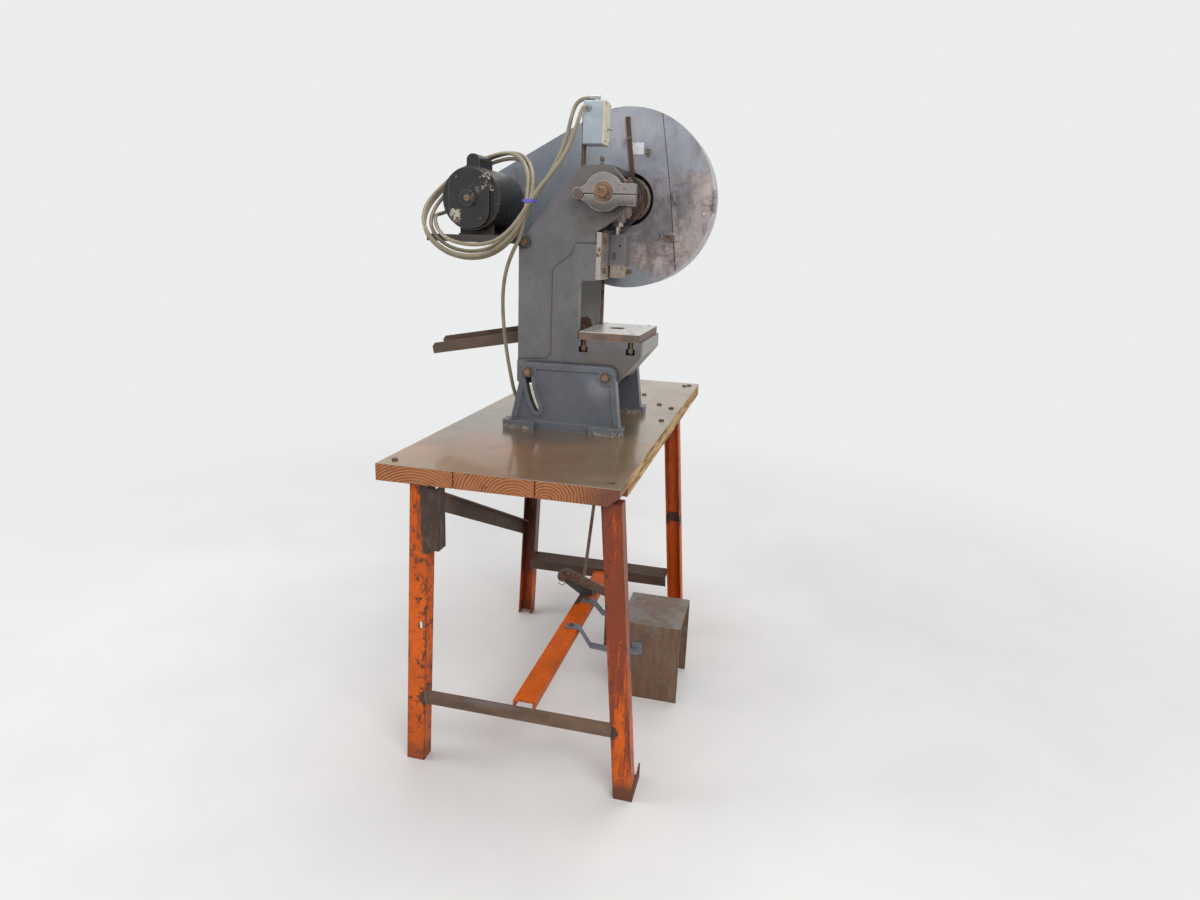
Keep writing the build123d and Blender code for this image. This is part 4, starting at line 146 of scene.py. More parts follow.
class Graph(Nodes):
    """A material as a stack of layers. Its distances are in metres, apart from those that past() takes."""

    def __init__(self, name, colour=(0.5, 0.5, 0.5), roughness=0.5, metallic=0.0):
        self.material = bpy.data.materials.new(name)
        self.material.use_nodes = True
        super().__init__(self.material.node_tree)
        self.shader = self.tree.nodes["Principled BSDF"]
        self.where = self.add("ShaderNodeTexCoord").outputs["Object"]
        self.tone = colour
        self.rough = roughness
        self.metal = metallic
        self.height = None

    def noise(self, scale, detail, rough, stretch=(1, 1, 1), distortion=0.0, offset=(0, 0, 0)):
        moved = self.add("ShaderNodeMapping", {"Vector": self.where, "Scale": stretch, "Location": offset})
        made = self.add("ShaderNodeTexNoise", {
            "Vector": moved.outputs["Vector"], "Scale": scale, "Detail": detail, "Roughness": rough,
            "Distortion": distortion,
        })
        return made.outputs["Fac"]

    def between(self, value, low, high, out_low=0.0, out_high=1.0):
        made = self.add("ShaderNodeMapRange", {
            "Value": value, "From Min": low, "From Max": high, "To Min": out_low, "To Max": out_high,
        }, interpolation_type="SMOOTHSTEP")
        return made.outputs["Result"]

    def less(self, first, second):
        return self.math("SUBTRACT", first, second)

    def chain(self, kind, values):
        found = values[0]
        for value in values[1:]:
            found = self.math(kind, found, value)
        return found

    def times(self, *values):
        return self.chain("MULTIPLY", values)

    def plus(self, *values):
        return self.chain("ADD", values)

    def mix(self, share, first, second, kind="RGBA"):
        made = self.add("ShaderNodeMix", {"Factor": share, "A": first, "B": second}, data_type=kind)
        return made.outputs["Result"]

    def axis(self, name):
        return self.add("ShaderNodeSeparateXYZ", {"Vector": self.where}).outputs[name]

    def past(self, name, start, end, out_low=0.0, out_high=1.0):
        """How far along an axis the point is from one place to another, both in millimetres."""
        first = START[name] + start * MM
        last = START[name] + end * MM
        return self.between(self.axis(name), first, last, out_low, out_high)

    def reach(self, off_x, off_z):
        """The length of two sides at a right angle."""
        return self.math("SQRT", self.plus(self.times(off_x, off_x), self.times(off_z, off_z)))

    def reach_of_crank(self):
        """How far the point lies from the crankshaft's axis."""
        off_x = self.less(self.axis("X"), crank_centre.x)
        off_z = self.less(self.axis("Z"), crank_centre.z)
        return self.reach(off_x, off_z)

    def near(self, centre, inner, outer):
        """1 within the inner distance of a point, 0 past the outer one."""
        made = self.add("ShaderNodeVectorMath", {0: self.where, 1: centre}, operation="DISTANCE")
        return self.between(made.outputs["Value"], outer, inner)

    def facing_up(self):
        normal = self.add("ShaderNodeNewGeometry").outputs["Normal"]
        upward = self.add("ShaderNodeSeparateXYZ", {"Vector": normal}).outputs["Z"]
        return self.between(upward, 0.3, 0.9)

    def edges(self, radius=0.0022, low=0.02, high=0.25):
        """How near a sharp edge the point is, from 0 to 1."""
        soft = self.add("ShaderNodeBevel", {"Radius": radius}, samples=6).outputs["Normal"]
        flat = self.add("ShaderNodeNewGeometry").outputs["Normal"]
        cosine = self.add("ShaderNodeVectorMath", {0: soft, 1: flat}, operation="DOT_PRODUCT")
        return self.between(self.less(1.0, cosine.outputs["Value"]), low, high)

    def hollows(self, distance=0.03, open_air=0.75, deep=0.2):
        """How deep in a corner the point is, from 0 to 1."""
        made = self.add("ShaderNodeAmbientOcclusion", {"Distance": distance}, samples=6)
        return self.between(made.outputs["AO"], open_air, deep)

    def cover(self, share, colour, rough=None, metal=None, lift=0.0):
        """Lay a coat over what is there: its share, colour, roughness, metal and thickness."""
        self.tone = self.mix(share, self.tone, colour)
        if rough is not None:
            self.rough = self.mix(share, self.rough, rough, "FLOAT")
        if metal is not None:
            self.metal = self.mix(share, self.metal, metal, "FLOAT")
        if lift:
            self.raise_by(share, lift)

    def patch(self, pattern, low, high, most, colour, **coat):
        """Lay a coat where a pattern is strong: none of it at low, and the most at high."""
        self.cover(self.between(pattern, low, high, 0.0, most), colour, **coat)

    def raise_by(self, value, amount):
        step = self.times(value, amount)
        self.height = step if self.height is None else self.plus(self.height, step)

    def finish(self, depth=0.0006, soft_edge=0.0006):
        normal = self.add("ShaderNodeBevel", {"Radius": soft_edge}, samples=4).outputs["Normal"]
        if self.height is not None:
            bump = self.add("ShaderNodeBump", {"Distance": depth, "Height": self.height, "Normal": normal})
            normal = bump.outputs["Normal"]
        self.fill(self.shader, {
            "Base Color": self.tone, "Roughness": self.rough, "Metallic": self.metal, "Normal": normal,
        })
        return self.material


def darker(colour, share):
    return tuple(c * share for c in colour)


RUST = (0.17, 0.075, 0.034)
DARK_RUST = (0.065, 0.036, 0.025)
OIL = (0.035, 0.027, 0.021)
BARE = (0.34, 0.31, 0.28)
RED_OIL = (0.19, 0.036, 0.014)
BROWN_OIL = (0.066, 0.026, 0.017)


def old_paint(name, colour, worn=BARE, wear=0.5, rust=0.3, grime=0.4, gloss=0.42, cast=0.0, scale=1.0):
    """Old paint: patchy colour, edges worn through, rust in patches, oil in the corners."""
    g = Graph(name, colour, gloss)
    broad = g.noise(6 * scale, 5, 0.6)
    fine = g.noise(55 * scale, 6, 0.65)
    speckle = g.noise(300 * scale, 3, 0.7)
    g.tone = g.mix(g.between(broad, 0.32, 0.68), darker(colour, 0.8), darker(colour, 1.14))
    g.patch(fine, 0.45, 0.8, 0.45, darker(colour, 0.62))
    g.rough = g.between(fine, 0.2, 0.8, gloss - 0.08, gloss + 0.16)
    g.raise_by(fine, 0.3 + cast)
    g.raise_by(speckle, 0.12 + 0.45 * cast)
    streaks = g.noise(13 * scale, 6, 0.7, stretch=(1.7, 1.7, 0.4), distortion=0.5, offset=(3, 1, 7))
    g.patch(streaks, 0.66 - 0.14 * grime, 0.88, 0.75, DARK_RUST, rough=0.5)
    worn_through = g.plus(g.edges(), g.times(fine, 0.9))
    chips = g.between(worn_through, 1.3 - 0.5 * wear, 1.48 - 0.5 * wear)
    g.cover(chips, g.mix(g.between(speckle, 0.42, 0.64), worn, RUST), rough=0.45, lift=-0.35)
    patches = g.noise(17 * scale, 8, 0.74, offset=(9, 4, 2))
    rusty = g.mix(g.between(speckle, 0.35, 0.65), RUST, DARK_RUST)
    g.patch(patches, 0.76 - 0.2 * rust, 0.83 - 0.2 * rust, 0.9, rusty, rough=0.8, lift=0.25)
    g.cover(g.math("MULTIPLY", g.hollows(), grime, clamp=True), OIL)
    return g


def bare_metal(name, colour, rust=0.4, gloss=0.35, oil=0.3, scale=1.0, marks=(1, 1, 1), metal=0.85, worn=0.0):
    """Bare steel or iron: tool marks, an oil film, patches of rust and rubbed edges."""
    g = Graph(name, colour, gloss, metal)
    broad = g.noise(13 * scale, 6, 0.65)
    fine = g.noise(120 * scale, 5, 0.7)
    lines = g.noise(90 * scale, 3, 0.6, stretch=marks, offset=(2, 5, 3))
    g.tone = g.mix(g.between(broad, 0.3, 0.7), darker(colour, 0.74), colour)
    g.patch(lines, 0.35, 0.7, 0.35, darker(colour, 1.3))
    g.rough = g.between(fine, 0.2, 0.8, gloss - 0.1, gloss + 0.12)
    g.raise_by(lines, 0.3)
    g.raise_by(fine, 0.25)
    spread = g.between(g.plus(broad, g.times(fine, 0.5)), 1.04 - 0.5 * rust, 1.22 - 0.5 * rust)
    brown = g.mix(g.between(fine, 0.35, 0.65), RUST, DARK_RUST)
    g.cover(spread, brown, rough=0.75, metal=0.1, lift=0.4)
    film = g.noise(9 * scale, 4, 0.6, offset=(7, 7, 1))
    g.patch(film, 0.7 - 0.3 * oil, 0.85, 0.75, OIL, rough=0.3)
    if worn:
        rubbed = g.times(g.edges(0.0025), g.between(fine, 0.3, 0.6, 0.5, 1.0), worn)
        g.cover(rubbed, (0.55, 0.5, 0.4), rough=0.3)
    g.cover(g.times(g.hollows(0.012), 0.8), OIL)
    return g


def plank_wood():
    """Rough fir: rings about a pith line near each plank, dark stains, a paler weathered right end."""
    g = Graph("plank_wood", roughness=0.8)
    across = g.axis("X")
    up = g.axis("Z")
    pitch = 0.187
    pith_depth = 0.085
    ring_spacing = 0.0068
    number = g.math("FLOOR", g.math("DIVIDE", g.less(across, rear_edge), pitch))
    # Each plank was sawn from another place in its tree, so its pith lies elsewhere
    shift = g.times(g.math("SINE", g.times(number, 2.4)), 0.07)
    middle = g.plus(g.times(g.plus(number, 0.5), pitch), rear_edge)
    depth = g.times(g.math("COSINE", g.times(number, 1.9)), 0.05)
    wander = g.noise(6, 4, 0.55, stretch=(1, 0.25, 1))
    off_x = g.plus(g.less(across, g.plus(middle, shift)), g.times(wander, 0.06), -0.03)
    off_z = g.plus(g.less(up, bench_top - pith_depth), depth)
    rings = g.math("SINE", g.times(g.reach(off_x, off_z), 2 * math.pi / ring_spacing))
    late = g.between(rings, -0.2, 0.9)
    fibre = g.noise(140, 6, 0.7, stretch=(1, 0.05, 1))
    splinters = g.noise(60, 8, 0.8, stretch=(1, 0.12, 1), offset=(5, 0, 3))
    ends = g.noise(500, 3, 0.7)
    uneven = g.between(g.noise(22, 5, 0.6, offset=(2, 2, 2)), 0.35, 0.6, 0.45, 0.95)
    g.tone = g.mix(g.times(late, uneven), (0.44, 0.165, 0.055), (0.13, 0.036, 0.012))
    g.patch(fibre, 0.4, 0.75, 0.5, (0.22, 0.085, 0.032))
    g.patch(ends, 0.5, 0.8, 0.25, (0.5, 0.25, 0.11))
    g.patch(g.noise(10, 6, 0.7, distortion=0.5), 0.53, 0.7, 0.8, (0.055, 0.024, 0.016))
    corner = g.near(place(558, 0, -38), 0.03, 0.12)
    g.cover(g.times(corner, 0.75), (0.1, 0.022, 0.018), rough=0.5)
    long_side = g.past("X", 556.5, 557.5)
    pale = g.mix(g.between(splinters, 0.42, 0.58), (0.62, 0.42, 0.18), (0.2, 0.1, 0.04))
    g.cover(g.times(long_side, g.past("Y", 20, 200, 0.35, 0.9)), pale)
    g.raise_by(late, 0.3)
    g.raise_by(fibre, 0.5)
    g.raise_by(g.times(splinters, long_side), 2.5)
    g.raise_by(ends, 0.2)
    return g.finish(depth=0.0013, soft_edge=0.0015)


def bench_sheet():
    """Oily steel sheet: blurred reflections, drag marks, an orange rust bloom, drip stains and a painted
    highlight along its edges.
    """
    g = Graph("bench_steel", roughness=0.3, metallic=0.55)
    broad = g.noise(3.2, 6, 0.62, distortion=0.8)
    blots = g.noise(11, 8, 0.7, offset=(4, 2, 0))
    drag = g.noise(26, 5, 0.7, stretch=(1, 0.12, 1), offset=(1, 9, 0))
    fine = g.noise(210, 4, 0.7)
    g.tone = g.mix(g.between(broad, 0.34, 0.66), (0.225, 0.15, 0.075), (0.33, 0.255, 0.155))
    g.patch(drag, 0.45, 0.7, 0.4, (0.38, 0.31, 0.2))
    bloom = g.times(g.near(place(190, 190, 0), 0.05, 0.34), g.between(broad, 0.3, 0.6, 0.3, 1.0))
    g.cover(g.times(bloom, 0.9), (0.45, 0.18, 0.07), rough=0.34)
    g.patch(blots, 0.52, 0.68, 0.75, (0.27, 0.14, 0.065), rough=0.42)
    g.patch(blots, 0.4, 0.26, 0.45, (0.13, 0.1, 0.07), rough=0.2)
    g.patch(fine, 0.6, 0.78, 0.4, (0.14, 0.08, 0.05))
    foot = g.between(g.near(place(300, 470, 0), 0.1, 0.26), 0.2, 1.0, 0.0, 0.5)
    g.cover(g.times(foot, g.between(blots, 0.3, 0.6, 0.5, 1.0)), (0.15, 0.11, 0.08), rough=0.2)
    left_grey = g.times(g.near(place(70, 430, 0), 0.1, 0.36), g.between(broad, 0.25, 0.6, 0.6, 1.0))
    g.cover(g.times(left_grey, 0.45), (0.17, 0.16, 0.145), rough=0.26)
    scorched = g.times(g.near(place(420, 110, 0), 0.05, 0.24), g.between(blots, 0.36, 0.6, 0.25, 1.0))
    g.cover(g.times(scorched, 0.7), (0.26, 0.13, 0.065), rough=0.3)
    spill = g.times(g.near(place(500, 330, 0), 0.03, 0.2), g.between(broad, 0.4, 0.62))
    g.cover(g.times(spill, 0.55), (0.3, 0.17, 0.09), rough=0.34)
    # Painted highlight: a pale line along the sheet's edges stands for light catching them.
    g.cover(g.times(g.edges(0.003), 0.8), (0.6, 0.56, 0.48), rough=0.3)
    g.raise_by(drag, 0.1)
    g.raise_by(fine, 0.05)
    g.raise_by(broad, 0.8)
    g.fill(g.shader, {"Coat Weight": 0.45, "Coat Roughness": 0.09})
    return g.finish(depth=0.0004)


def orange_paint():
    """Bright machine paint on the legs, soaked with dark red oil under the press and rusting in spots."""
    paint = (0.62, 0.105, 0.003)
    g = old_paint("orange_paint", paint, DARK_RUST, wear=0.75, rust=0.55, grime=0.6, gloss=0.46, scale=1.3)
    frontward = g.past("X", 300, 340)
    rearward = g.less(1.0, frontward)
    rightward = g.past("Y", 700, 740)
    leftward = g.less(1.0, rightward)
    # Height above the floor
    up = g.axis("Z")
    drips = g.noise(30, 8, 0.72, stretch=(1, 1, 0.35), offset=(1, 1, 4))
    spots = g.noise(190, 5, 0.7, offset=(6, 0, 0))
    grain = g.plus(g.times(drips, 0.5), g.times(spots, 0.5))
    reddened = g.plus(
        g.times(frontward, leftward, g.between(up, -0.15, 0.55, 0.27, 0.6)),
        g.times(frontward, rightward, g.between(up, 0.36, 0.46, 0.05, 0.36)),
        g.times(rearward, rightward, g.between(up, 0.1, 0.22, 0.4, 0.8)),
        g.times(rearward, leftward, g.between(up, 0.4, 0.66, 0.12, 0.34)),
    )
    runs = g.times(g.between(g.noise(42, 5, 0.65, stretch=(1, 1, 0.1), offset=(3, 7, 1)), 0.36, 0.62), 0.3)
    wet = g.plus(reddened, g.times(runs, g.between(reddened, 0.1, 0.3)), -0.12)
    g.patch(g.plus(grain, wet), 0.86, 1.06, 0.92, RED_OIL, rough=0.42)
    darkened = g.plus(
        g.times(frontward, leftward, g.between(up, 0.3, 0.72, 0.08, 0.38)),
        g.times(frontward, rightward, g.between(up, 0.4, 0.5, 0.0, 0.12)),
        g.times(rearward, rightward, g.between(up, 0.12, 0.3, 0.3, 0.52)),
        g.times(rearward, leftward, 0.16),
    )
    g.patch(g.plus(grain, darkened), 0.8, 1.08, 0.92, BROWN_OIL, rough=0.4)
    band = g.times(frontward, rightward, g.between(up, 0.385, 0.392), g.between(up, 0.425, 0.418))
    g.cover(g.times(band, 0.9), (0.04, 0.032, 0.03), rough=0.5)
    gusset = g.times(g.past("X", 82, 112), rearward, leftward, g.between(up, 0.535, 0.56))
    ragged = g.plus(gusset, g.times(g.less(drips, 0.5), 1.3))
    scorched = g.mix(g.between(drips, 0.4, 0.6), (0.115, 0.07, 0.05), (0.05, 0.033, 0.028))
    g.cover(g.between(ragged, 0.5, 0.6), scorched, rough=0.6)
    flecks = g.noise(85, 8, 0.78, stretch=(1, 1, 0.6), offset=(5, 5, 5))
    beside = g.plus(g.times(g.edges(0.008, 0.005, 0.15), 0.09), g.times(drips, 0.12))
    speckled = g.times(rearward, leftward, g.past("X", 60, 90), 0.06)
    g.patch(g.plus(flecks, beside, speckled), 0.65, 0.685, 0.92, DARK_RUST, rough=0.7, lift=-0.4)
    bruises = g.noise(19, 7, 0.72, stretch=(1, 1, 0.45), offset=(8, 2, 6))
    g.patch(g.plus(bruises, g.times(beside, 0.5)), 0.66, 0.71, 0.8, (0.12, 0.04, 0.018), rough=0.65)
    # Scorch marks round the welds at the two ends of the left stretcher
    for spot in (place(97, 20, -588), place(556, 20, -588)):
        burnt = g.plus(g.near(spot, 0.006, 0.03), g.times(g.less(spots, 0.5), 0.9))
        g.patch(burnt, 0.4, 0.6, 0.9, (0.045, 0.03, 0.028), rough=0.7)
    feet = g.between(g.plus(up, g.times(drips, 0.05)), 0.085, 0.05)
    g.cover(g.times(feet, g.plus(g.times(frontward, 0.4), 0.5)), (0.1, 0.045, 0.028), rough=0.75)
    g.fill(g.shader, {"Specular IOR Level": 0.3})
    return g.finish()


def channel_paint():
    """The same paint on the middle channel: cleaner, with an oily patch under the treadle's bracket."""
    paint = (0.66, 0.115, 0.003)
    g = old_paint("channel_paint", paint, DARK_RUST, wear=0.8, rust=0.45, grime=0.35, gloss=0.46, scale=1.3)
    drips = g.noise(30, 8, 0.72, offset=(1, 1, 4))
    flecks = g.noise(85, 8, 0.78, offset=(5, 5, 5))
    beside = g.times(g.edges(0.008, 0.005, 0.15), 0.1)
    g.patch(g.plus(flecks, beside), 0.59, 0.63, 0.92, DARK_RUST, rough=0.7, lift=-0.4)
    under_bracket = g.plus(g.near(place(270, 608, -560), 0.05, 0.13), g.times(g.less(drips, 0.5), 1.6))
    g.patch(under_bracket, 0.45, 0.62, 0.93, (0.06, 0.04, 0.034), rough=0.5)
    g.patch(drips, 0.56, 0.72, 0.5, RED_OIL, rough=0.45)
    g.fill(g.shader, {"Specular IOR Level": 0.3})
    return g.finish()


def guard_paint():
    """Grey sheet-metal paint with brown and rose smears of old oil baked over the middle of the guard."""
    g = old_paint("guard_paint", (0.3, 0.32, 0.365), wear=0.6, rust=0.2, grime=0.3, gloss=0.3, scale=0.9)
    clouds = g.noise(8, 9, 0.7, distortion=0.25, offset=(2, 0, 5))
    veins = g.noise(24, 7, 0.74, offset=(1, 3, 2))
    wipes = g.noise(20, 7, 0.7, stretch=(1, 1, 0.3), offset=(6, 1, 2))
    mottled = g.noise(5, 6, 0.66, offset=(3, 3, 8))
    g.patch(mottled, 0.45, 0.62, 0.7, (0.43, 0.435, 0.48), rough=0.26)
    middle = g.near(place(500, 745, 570), 0.06, 0.25)
    seam_lean = 0.145
    across_seam = g.plus(g.axis("X"), g.times(g.axis("Z"), seam_lean))
    on_door = g.between(across_seam, rear_edge + 0.703, rear_edge + 0.71)
    warm = g.mix(g.between(veins, 0.42, 0.56), (0.52, 0.43, 0.4), (0.23, 0.15, 0.125))
    g.patch(g.plus(clouds, g.times(middle, 0.2)), 0.5, 0.68, 0.85, warm, rough=0.34)
    wiped = g.plus(g.times(wipes, 0.5), g.times(clouds, 0.5), g.times(middle, 0.08))
    g.patch(wiped, 0.52, 0.66, 0.75, (0.13, 0.115, 0.12), rough=0.4)
    g.patch(g.plus(veins, g.times(middle, 0.06)), 0.63, 0.72, 0.85, (0.26, 0.12, 0.06), rough=0.7)
    beside_hole = g.times(g.near(place(450, 745, 620), 0.07, 0.17), g.between(clouds, 0.3, 0.55, 0.45, 1.0))
    g.cover(g.times(beside_hole, 0.75), (0.12, 0.125, 0.15), rough=0.34)
    baked = g.between(g.plus(clouds, g.times(on_door, 0.1)), 0.56, 0.68, 0.0, 0.75)
    g.cover(g.times(baked, on_door, 0.8), (0.5, 0.445, 0.43), rough=0.34)
    runs = g.times(g.past("Z", 660, 800), g.between(wipes, 0.5, 0.64))
    g.cover(g.times(runs, g.past("X", 340, 400), 0.7), (0.19, 0.125, 0.095))
    left_wing = g.past("X", 330, 200, 0.0, 0.6)
    g.cover(left_wing, (0.15, 0.175, 0.21))
    g.cover(g.times(g.edges(0.004), g.between(veins, 0.4, 0.55), 0.7), (0.2, 0.1, 0.06), rough=0.6)
    return g.finish()


def stand_paint():
    """Blue-grey paint on the side castings: pale scraped edges, worn, rusty toes and a painted highlight by
    the pivot.
    """
    g = old_paint(
        "stand_paint", (0.112, 0.124, 0.15), (0.4, 0.38, 0.35), wear=0.85, rust=0.14, grime=0.45,
        gloss=0.34, cast=0.3,
    )
    scuffs = g.noise(70, 6, 0.75, offset=(4, 4, 0))
    stand_middle = rear_edge + 0.301
    from_middle = g.math("ABSOLUTE", g.less(g.axis("X"), stand_middle))
    toes = g.times(g.past("Z", 28, 4), g.between(from_middle, 0.07, 0.09))
    worn_toes = g.noise(38, 8, 0.75, offset=(2, 9, 3))
    g.patch(g.plus(g.times(toes, 0.45), worn_toes), 0.88, 0.98, 0.85, (0.31, 0.26, 0.22), rough=0.6)
    g.patch(g.plus(g.times(toes, 0.35), scuffs), 0.84, 0.93, 0.9, DARK_RUST, rough=0.8)
    # Painted highlight: a paler, glossier grey patch by the pivot stands for light catching the casting
    # there.
    pivot_highlight = g.times(g.near(place(392, 430, 122), 0.014, 0.045), g.between(scuffs, 0.3, 0.55))
    g.cover(g.times(pivot_highlight, 0.55), (0.29, 0.3, 0.32), rough=0.26)
    lip = g.times(g.edges(0.005), g.between(scuffs, 0.42, 0.56))
    g.cover(g.times(lip, 0.6), (0.32, 0.31, 0.29), rough=0.35)
    return g.finish(depth=0.0009)


def frame_paint():
    """Dark grey paint on the frame casting, browned by oil round the crank and under the bed, with painted
    light inside the throat.
    """
    g = old_paint(
        "frame_paint", (0.137, 0.132, 0.141), (0.33, 0.32, 0.29), wear=0.55, rust=0.14, grime=0.4,
        gloss=0.42, cast=0.4,
    )
    smoke = g.noise(16, 7, 0.7, distortion=0.7, offset=(5, 2, 8))
    crank = g.near(place(395, 470, 610), 0.06, 0.17)
    g.patch(g.plus(g.times(crank, 0.33), smoke), 0.62, 0.88, 0.6, (0.15, 0.125, 0.105), rough=0.33)
    bed = g.times(g.past("X", 330, 360), g.past("Z", 260, 200))
    g.patch(g.plus(g.times(bed, 0.4), smoke), 0.62, 0.85, 0.7, (0.12, 0.1, 0.085), rough=0.35)
    drips = g.noise(40, 5, 0.7, stretch=(1.5, 1.5, 0.15), offset=(0, 6, 6))
    g.patch(drips, 0.64, 0.78, 0.5, (0.2, 0.19, 0.18))
    knocks = g.noise(110, 7, 0.75, offset=(4, 9, 2))
    g.patch(knocks, 0.68, 0.74, 0.7, (0.3, 0.285, 0.27), rough=0.5, lift=-0.3)
    grimy = g.plus(smoke, g.times(g.near(place(400, 470, 520), 0.05, 0.2), 0.12))
    g.patch(grimy, 0.54, 0.76, 0.42, (0.07, 0.06, 0.055), rough=0.38)
    # Painted light: the inside of the throat between the webs, below the head, is painted pale grey to stand
    # for light falling in there.
    between_webs = g.times(g.past("Y", 493.5, 496), g.past("Y", 760, 750))
    throat = g.past("Z", 420, 380)
    g.cover(g.times(between_webs, throat, 0.8), (0.36, 0.345, 0.32), rough=0.6)
    oiled = g.times(g.between(g.reach_of_crank(), 0.1, 0.07), between_webs, g.less(1.0, throat))
    wet = g.mix(g.between(smoke, 0.4, 0.62), (0.03, 0.025, 0.023), (0.1, 0.05, 0.03))
    g.cover(g.times(oiled, 0.93), wet, rough=0.35)
    g.cover(g.times(g.edges(0.004), g.between(smoke, 0.45, 0.6), 0.55), (0.3, 0.27, 0.22), rough=0.4)
    g.cover(g.times(g.hollows(0.009, 0.93, 0.62), 0.85), (0.03, 0.026, 0.024), rough=0.4)
    return g.finish(depth=0.001)


def rusted_sheet(name, deep, pale, rubbed, stretch=(1.6, 1.6, 0.35)):
    """Sheet steel gone brown, streaked along its drips, and rubbed grey where things slide over it."""
    g = Graph(name, roughness=0.55, metallic=0.25)
    streaks = g.noise(26, 6, 0.65, stretch=stretch)
    patches = g.noise(15, 7, 0.7, offset=(3, 3, 3))
    fine = g.noise(220, 4, 0.7)
    g.tone = g.mix(g.between(streaks, 0.34, 0.66), deep, pale)
    g.patch(patches, 0.54, 0.66, 0.5, darker(rubbed, 0.8), rough=0.45)
    g.patch(fine, 0.55, 0.8, 0.5, (0.09, 0.045, 0.025))
    bloom = g.noise(34, 8, 0.76, offset=(8, 1, 4))
    g.patch(bloom, 0.53, 0.66, 0.75, (0.2, 0.085, 0.036), rough=0.75, lift=0.3)
    g.patch(bloom, 0.42, 0.32, 0.6, (0.125, 0.115, 0.115), rough=0.45)
    g.cover(g.times(g.facing_up(), g.between(patches, 0.58, 0.4, 0.25, 0.85)), rubbed, rough=0.4)
    g.cover(g.times(g.edges(), 0.5), (0.32, 0.27, 0.22), rough=0.4)
    g.cover(g.times(g.hollows(), 0.6), DARK_RUST)
    g.raise_by(fine, 0.3)
    g.raise_by(patches, 0.3)
    return g.finish()


def motor_black():
    """Black enamel with chips down to primer, a film of dust and a painted highlight by the hub."""
    g = old_paint(
        "motor_black", (0.016, 0.0155, 0.0155), (0.4, 0.36, 0.29), wear=0.72, rust=0.05, grime=0.1, gloss=0.25
    )
    chips = g.noise(44, 8, 0.74, offset=(7, 3, 1))
    low_corner = g.near(place(-14, 474, 545), 0.004, 0.034)
    seam = g.near(place(74, 492, 634), 0.012, 0.05)
    loss = g.between(g.plus(chips, g.times(low_corner, 0.2), g.times(seam, 0.13)), 0.66, 0.675)
    g.cover(loss, (0.46, 0.42, 0.35), rough=0.55, lift=-0.5)
    # Painted highlight: a grey patch beside the hub stands for light catching the end bell there.
    hub_highlight = g.times(g.near(place(40, 470, 600), 0.0, 0.03), g.between(chips, 0.5, 0.56))
    g.cover(g.times(hub_highlight, 0.5), (0.25, 0.25, 0.26), rough=0.4)
    dust = g.times(g.facing_up(), g.between(g.noise(50, 5, 0.6), 0.4, 0.7, 0.1, 0.4))
    g.cover(dust, (0.2, 0.18, 0.16), rough=0.6)
    return g.finish()


def pivot_steel():
    """Tilt bolts: brown washers under heads of brighter rust, with a painted highlight in the middle of each
    head.
    """
    g = bare_metal("pivot_steel", (0.15, 0.11, 0.09), rust=0.6, gloss=0.5, oil=0.3, metal=0.4, worn=0.7)
    for centre in (place(414, 430, 153), place(203, 430, 153)):
        g.cover(g.times(g.near(centre, 0.0118, 0.0128), 0.9), (0.025, 0.017, 0.014), rough=0.7)
        g.cover(g.times(g.near(centre, 0.0098, 0.0108), 0.95), (0.2, 0.115, 0.08), rough=0.5)
        # Painted highlight: a paler spot in the middle of each head stands for light catching it.
        g.cover(g.times(g.near(centre, 0.004, 0.008), 0.5), (0.3, 0.2, 0.15), rough=0.4)
    return g.finish()


def brake_iron():
    """Cast clamp: grey-brown iron, darker and oilier under the crank, pale along its edges from rubbed wear
    and a painted highlight.
    """
    g = bare_metal("brake_iron", (0.27, 0.25, 0.235), gloss=0.42, oil=0.5, scale=1.6, metal=0.4, worn=1.0)
    blots = g.noise(60, 7, 0.72, offset=(3, 8, 5))
    ragged = g.plus(g.axis("Z"), g.times(blots, 0.02))
    g.patch(ragged, crank_centre.z + 0.004, crank_centre.z - 0.022, 0.75, (0.055, 0.045, 0.042), rough=0.4)
    g.patch(blots, 0.58, 0.7, 0.7, (0.1, 0.06, 0.042), rough=0.6)
    # Pale edges: partly rubbed wear, partly a painted highlight standing for light catching the clamp's
    # edges.
    rubbed = g.times(g.edges(0.004, 0.02, 0.15), g.between(blots, 0.38, 0.5), 0.85)
    g.cover(rubbed, (0.47, 0.44, 0.4), rough=0.35)
    return g.finish()


def clutch_iron():
    """Black oily disc with rust and bright arcs that its drive has worn in it, and a painted highlight round
    its rim.
    """
    g = Graph("clutch_iron", (0.018, 0.015, 0.014), 0.35, 0.3)
    reach = g.reach_of_crank()
    specks = g.noise(90, 6, 0.7)
    arc_spacing = 0.006
    waves = g.math("SINE", g.plus(g.times(reach, 2 * math.pi / arc_spacing), g.times(specks, 3.0)))
    arcs = g.between(waves, 0.3, 0.95)
    outer = g.between(reach, 0.034, 0.048)
    g.cover(g.times(arcs, outer, 0.9), (0.21, 0.1, 0.06), rough=0.6)
    # Painted highlight: a pale metallic band beyond the arcs stands for light catching the disc's rim.
    rim_highlight = g.times(g.between(reach, 0.0555, 0.057), g.between(specks, 0.35, 0.55))
    g.cover(g.times(rim_highlight, 0.9), (0.5, 0.45, 0.38), rough=0.3, metal=0.8)
    g.raise_by(arcs, 0.5)
    g.raise_by(specks, 0.4)
    return g.finish()


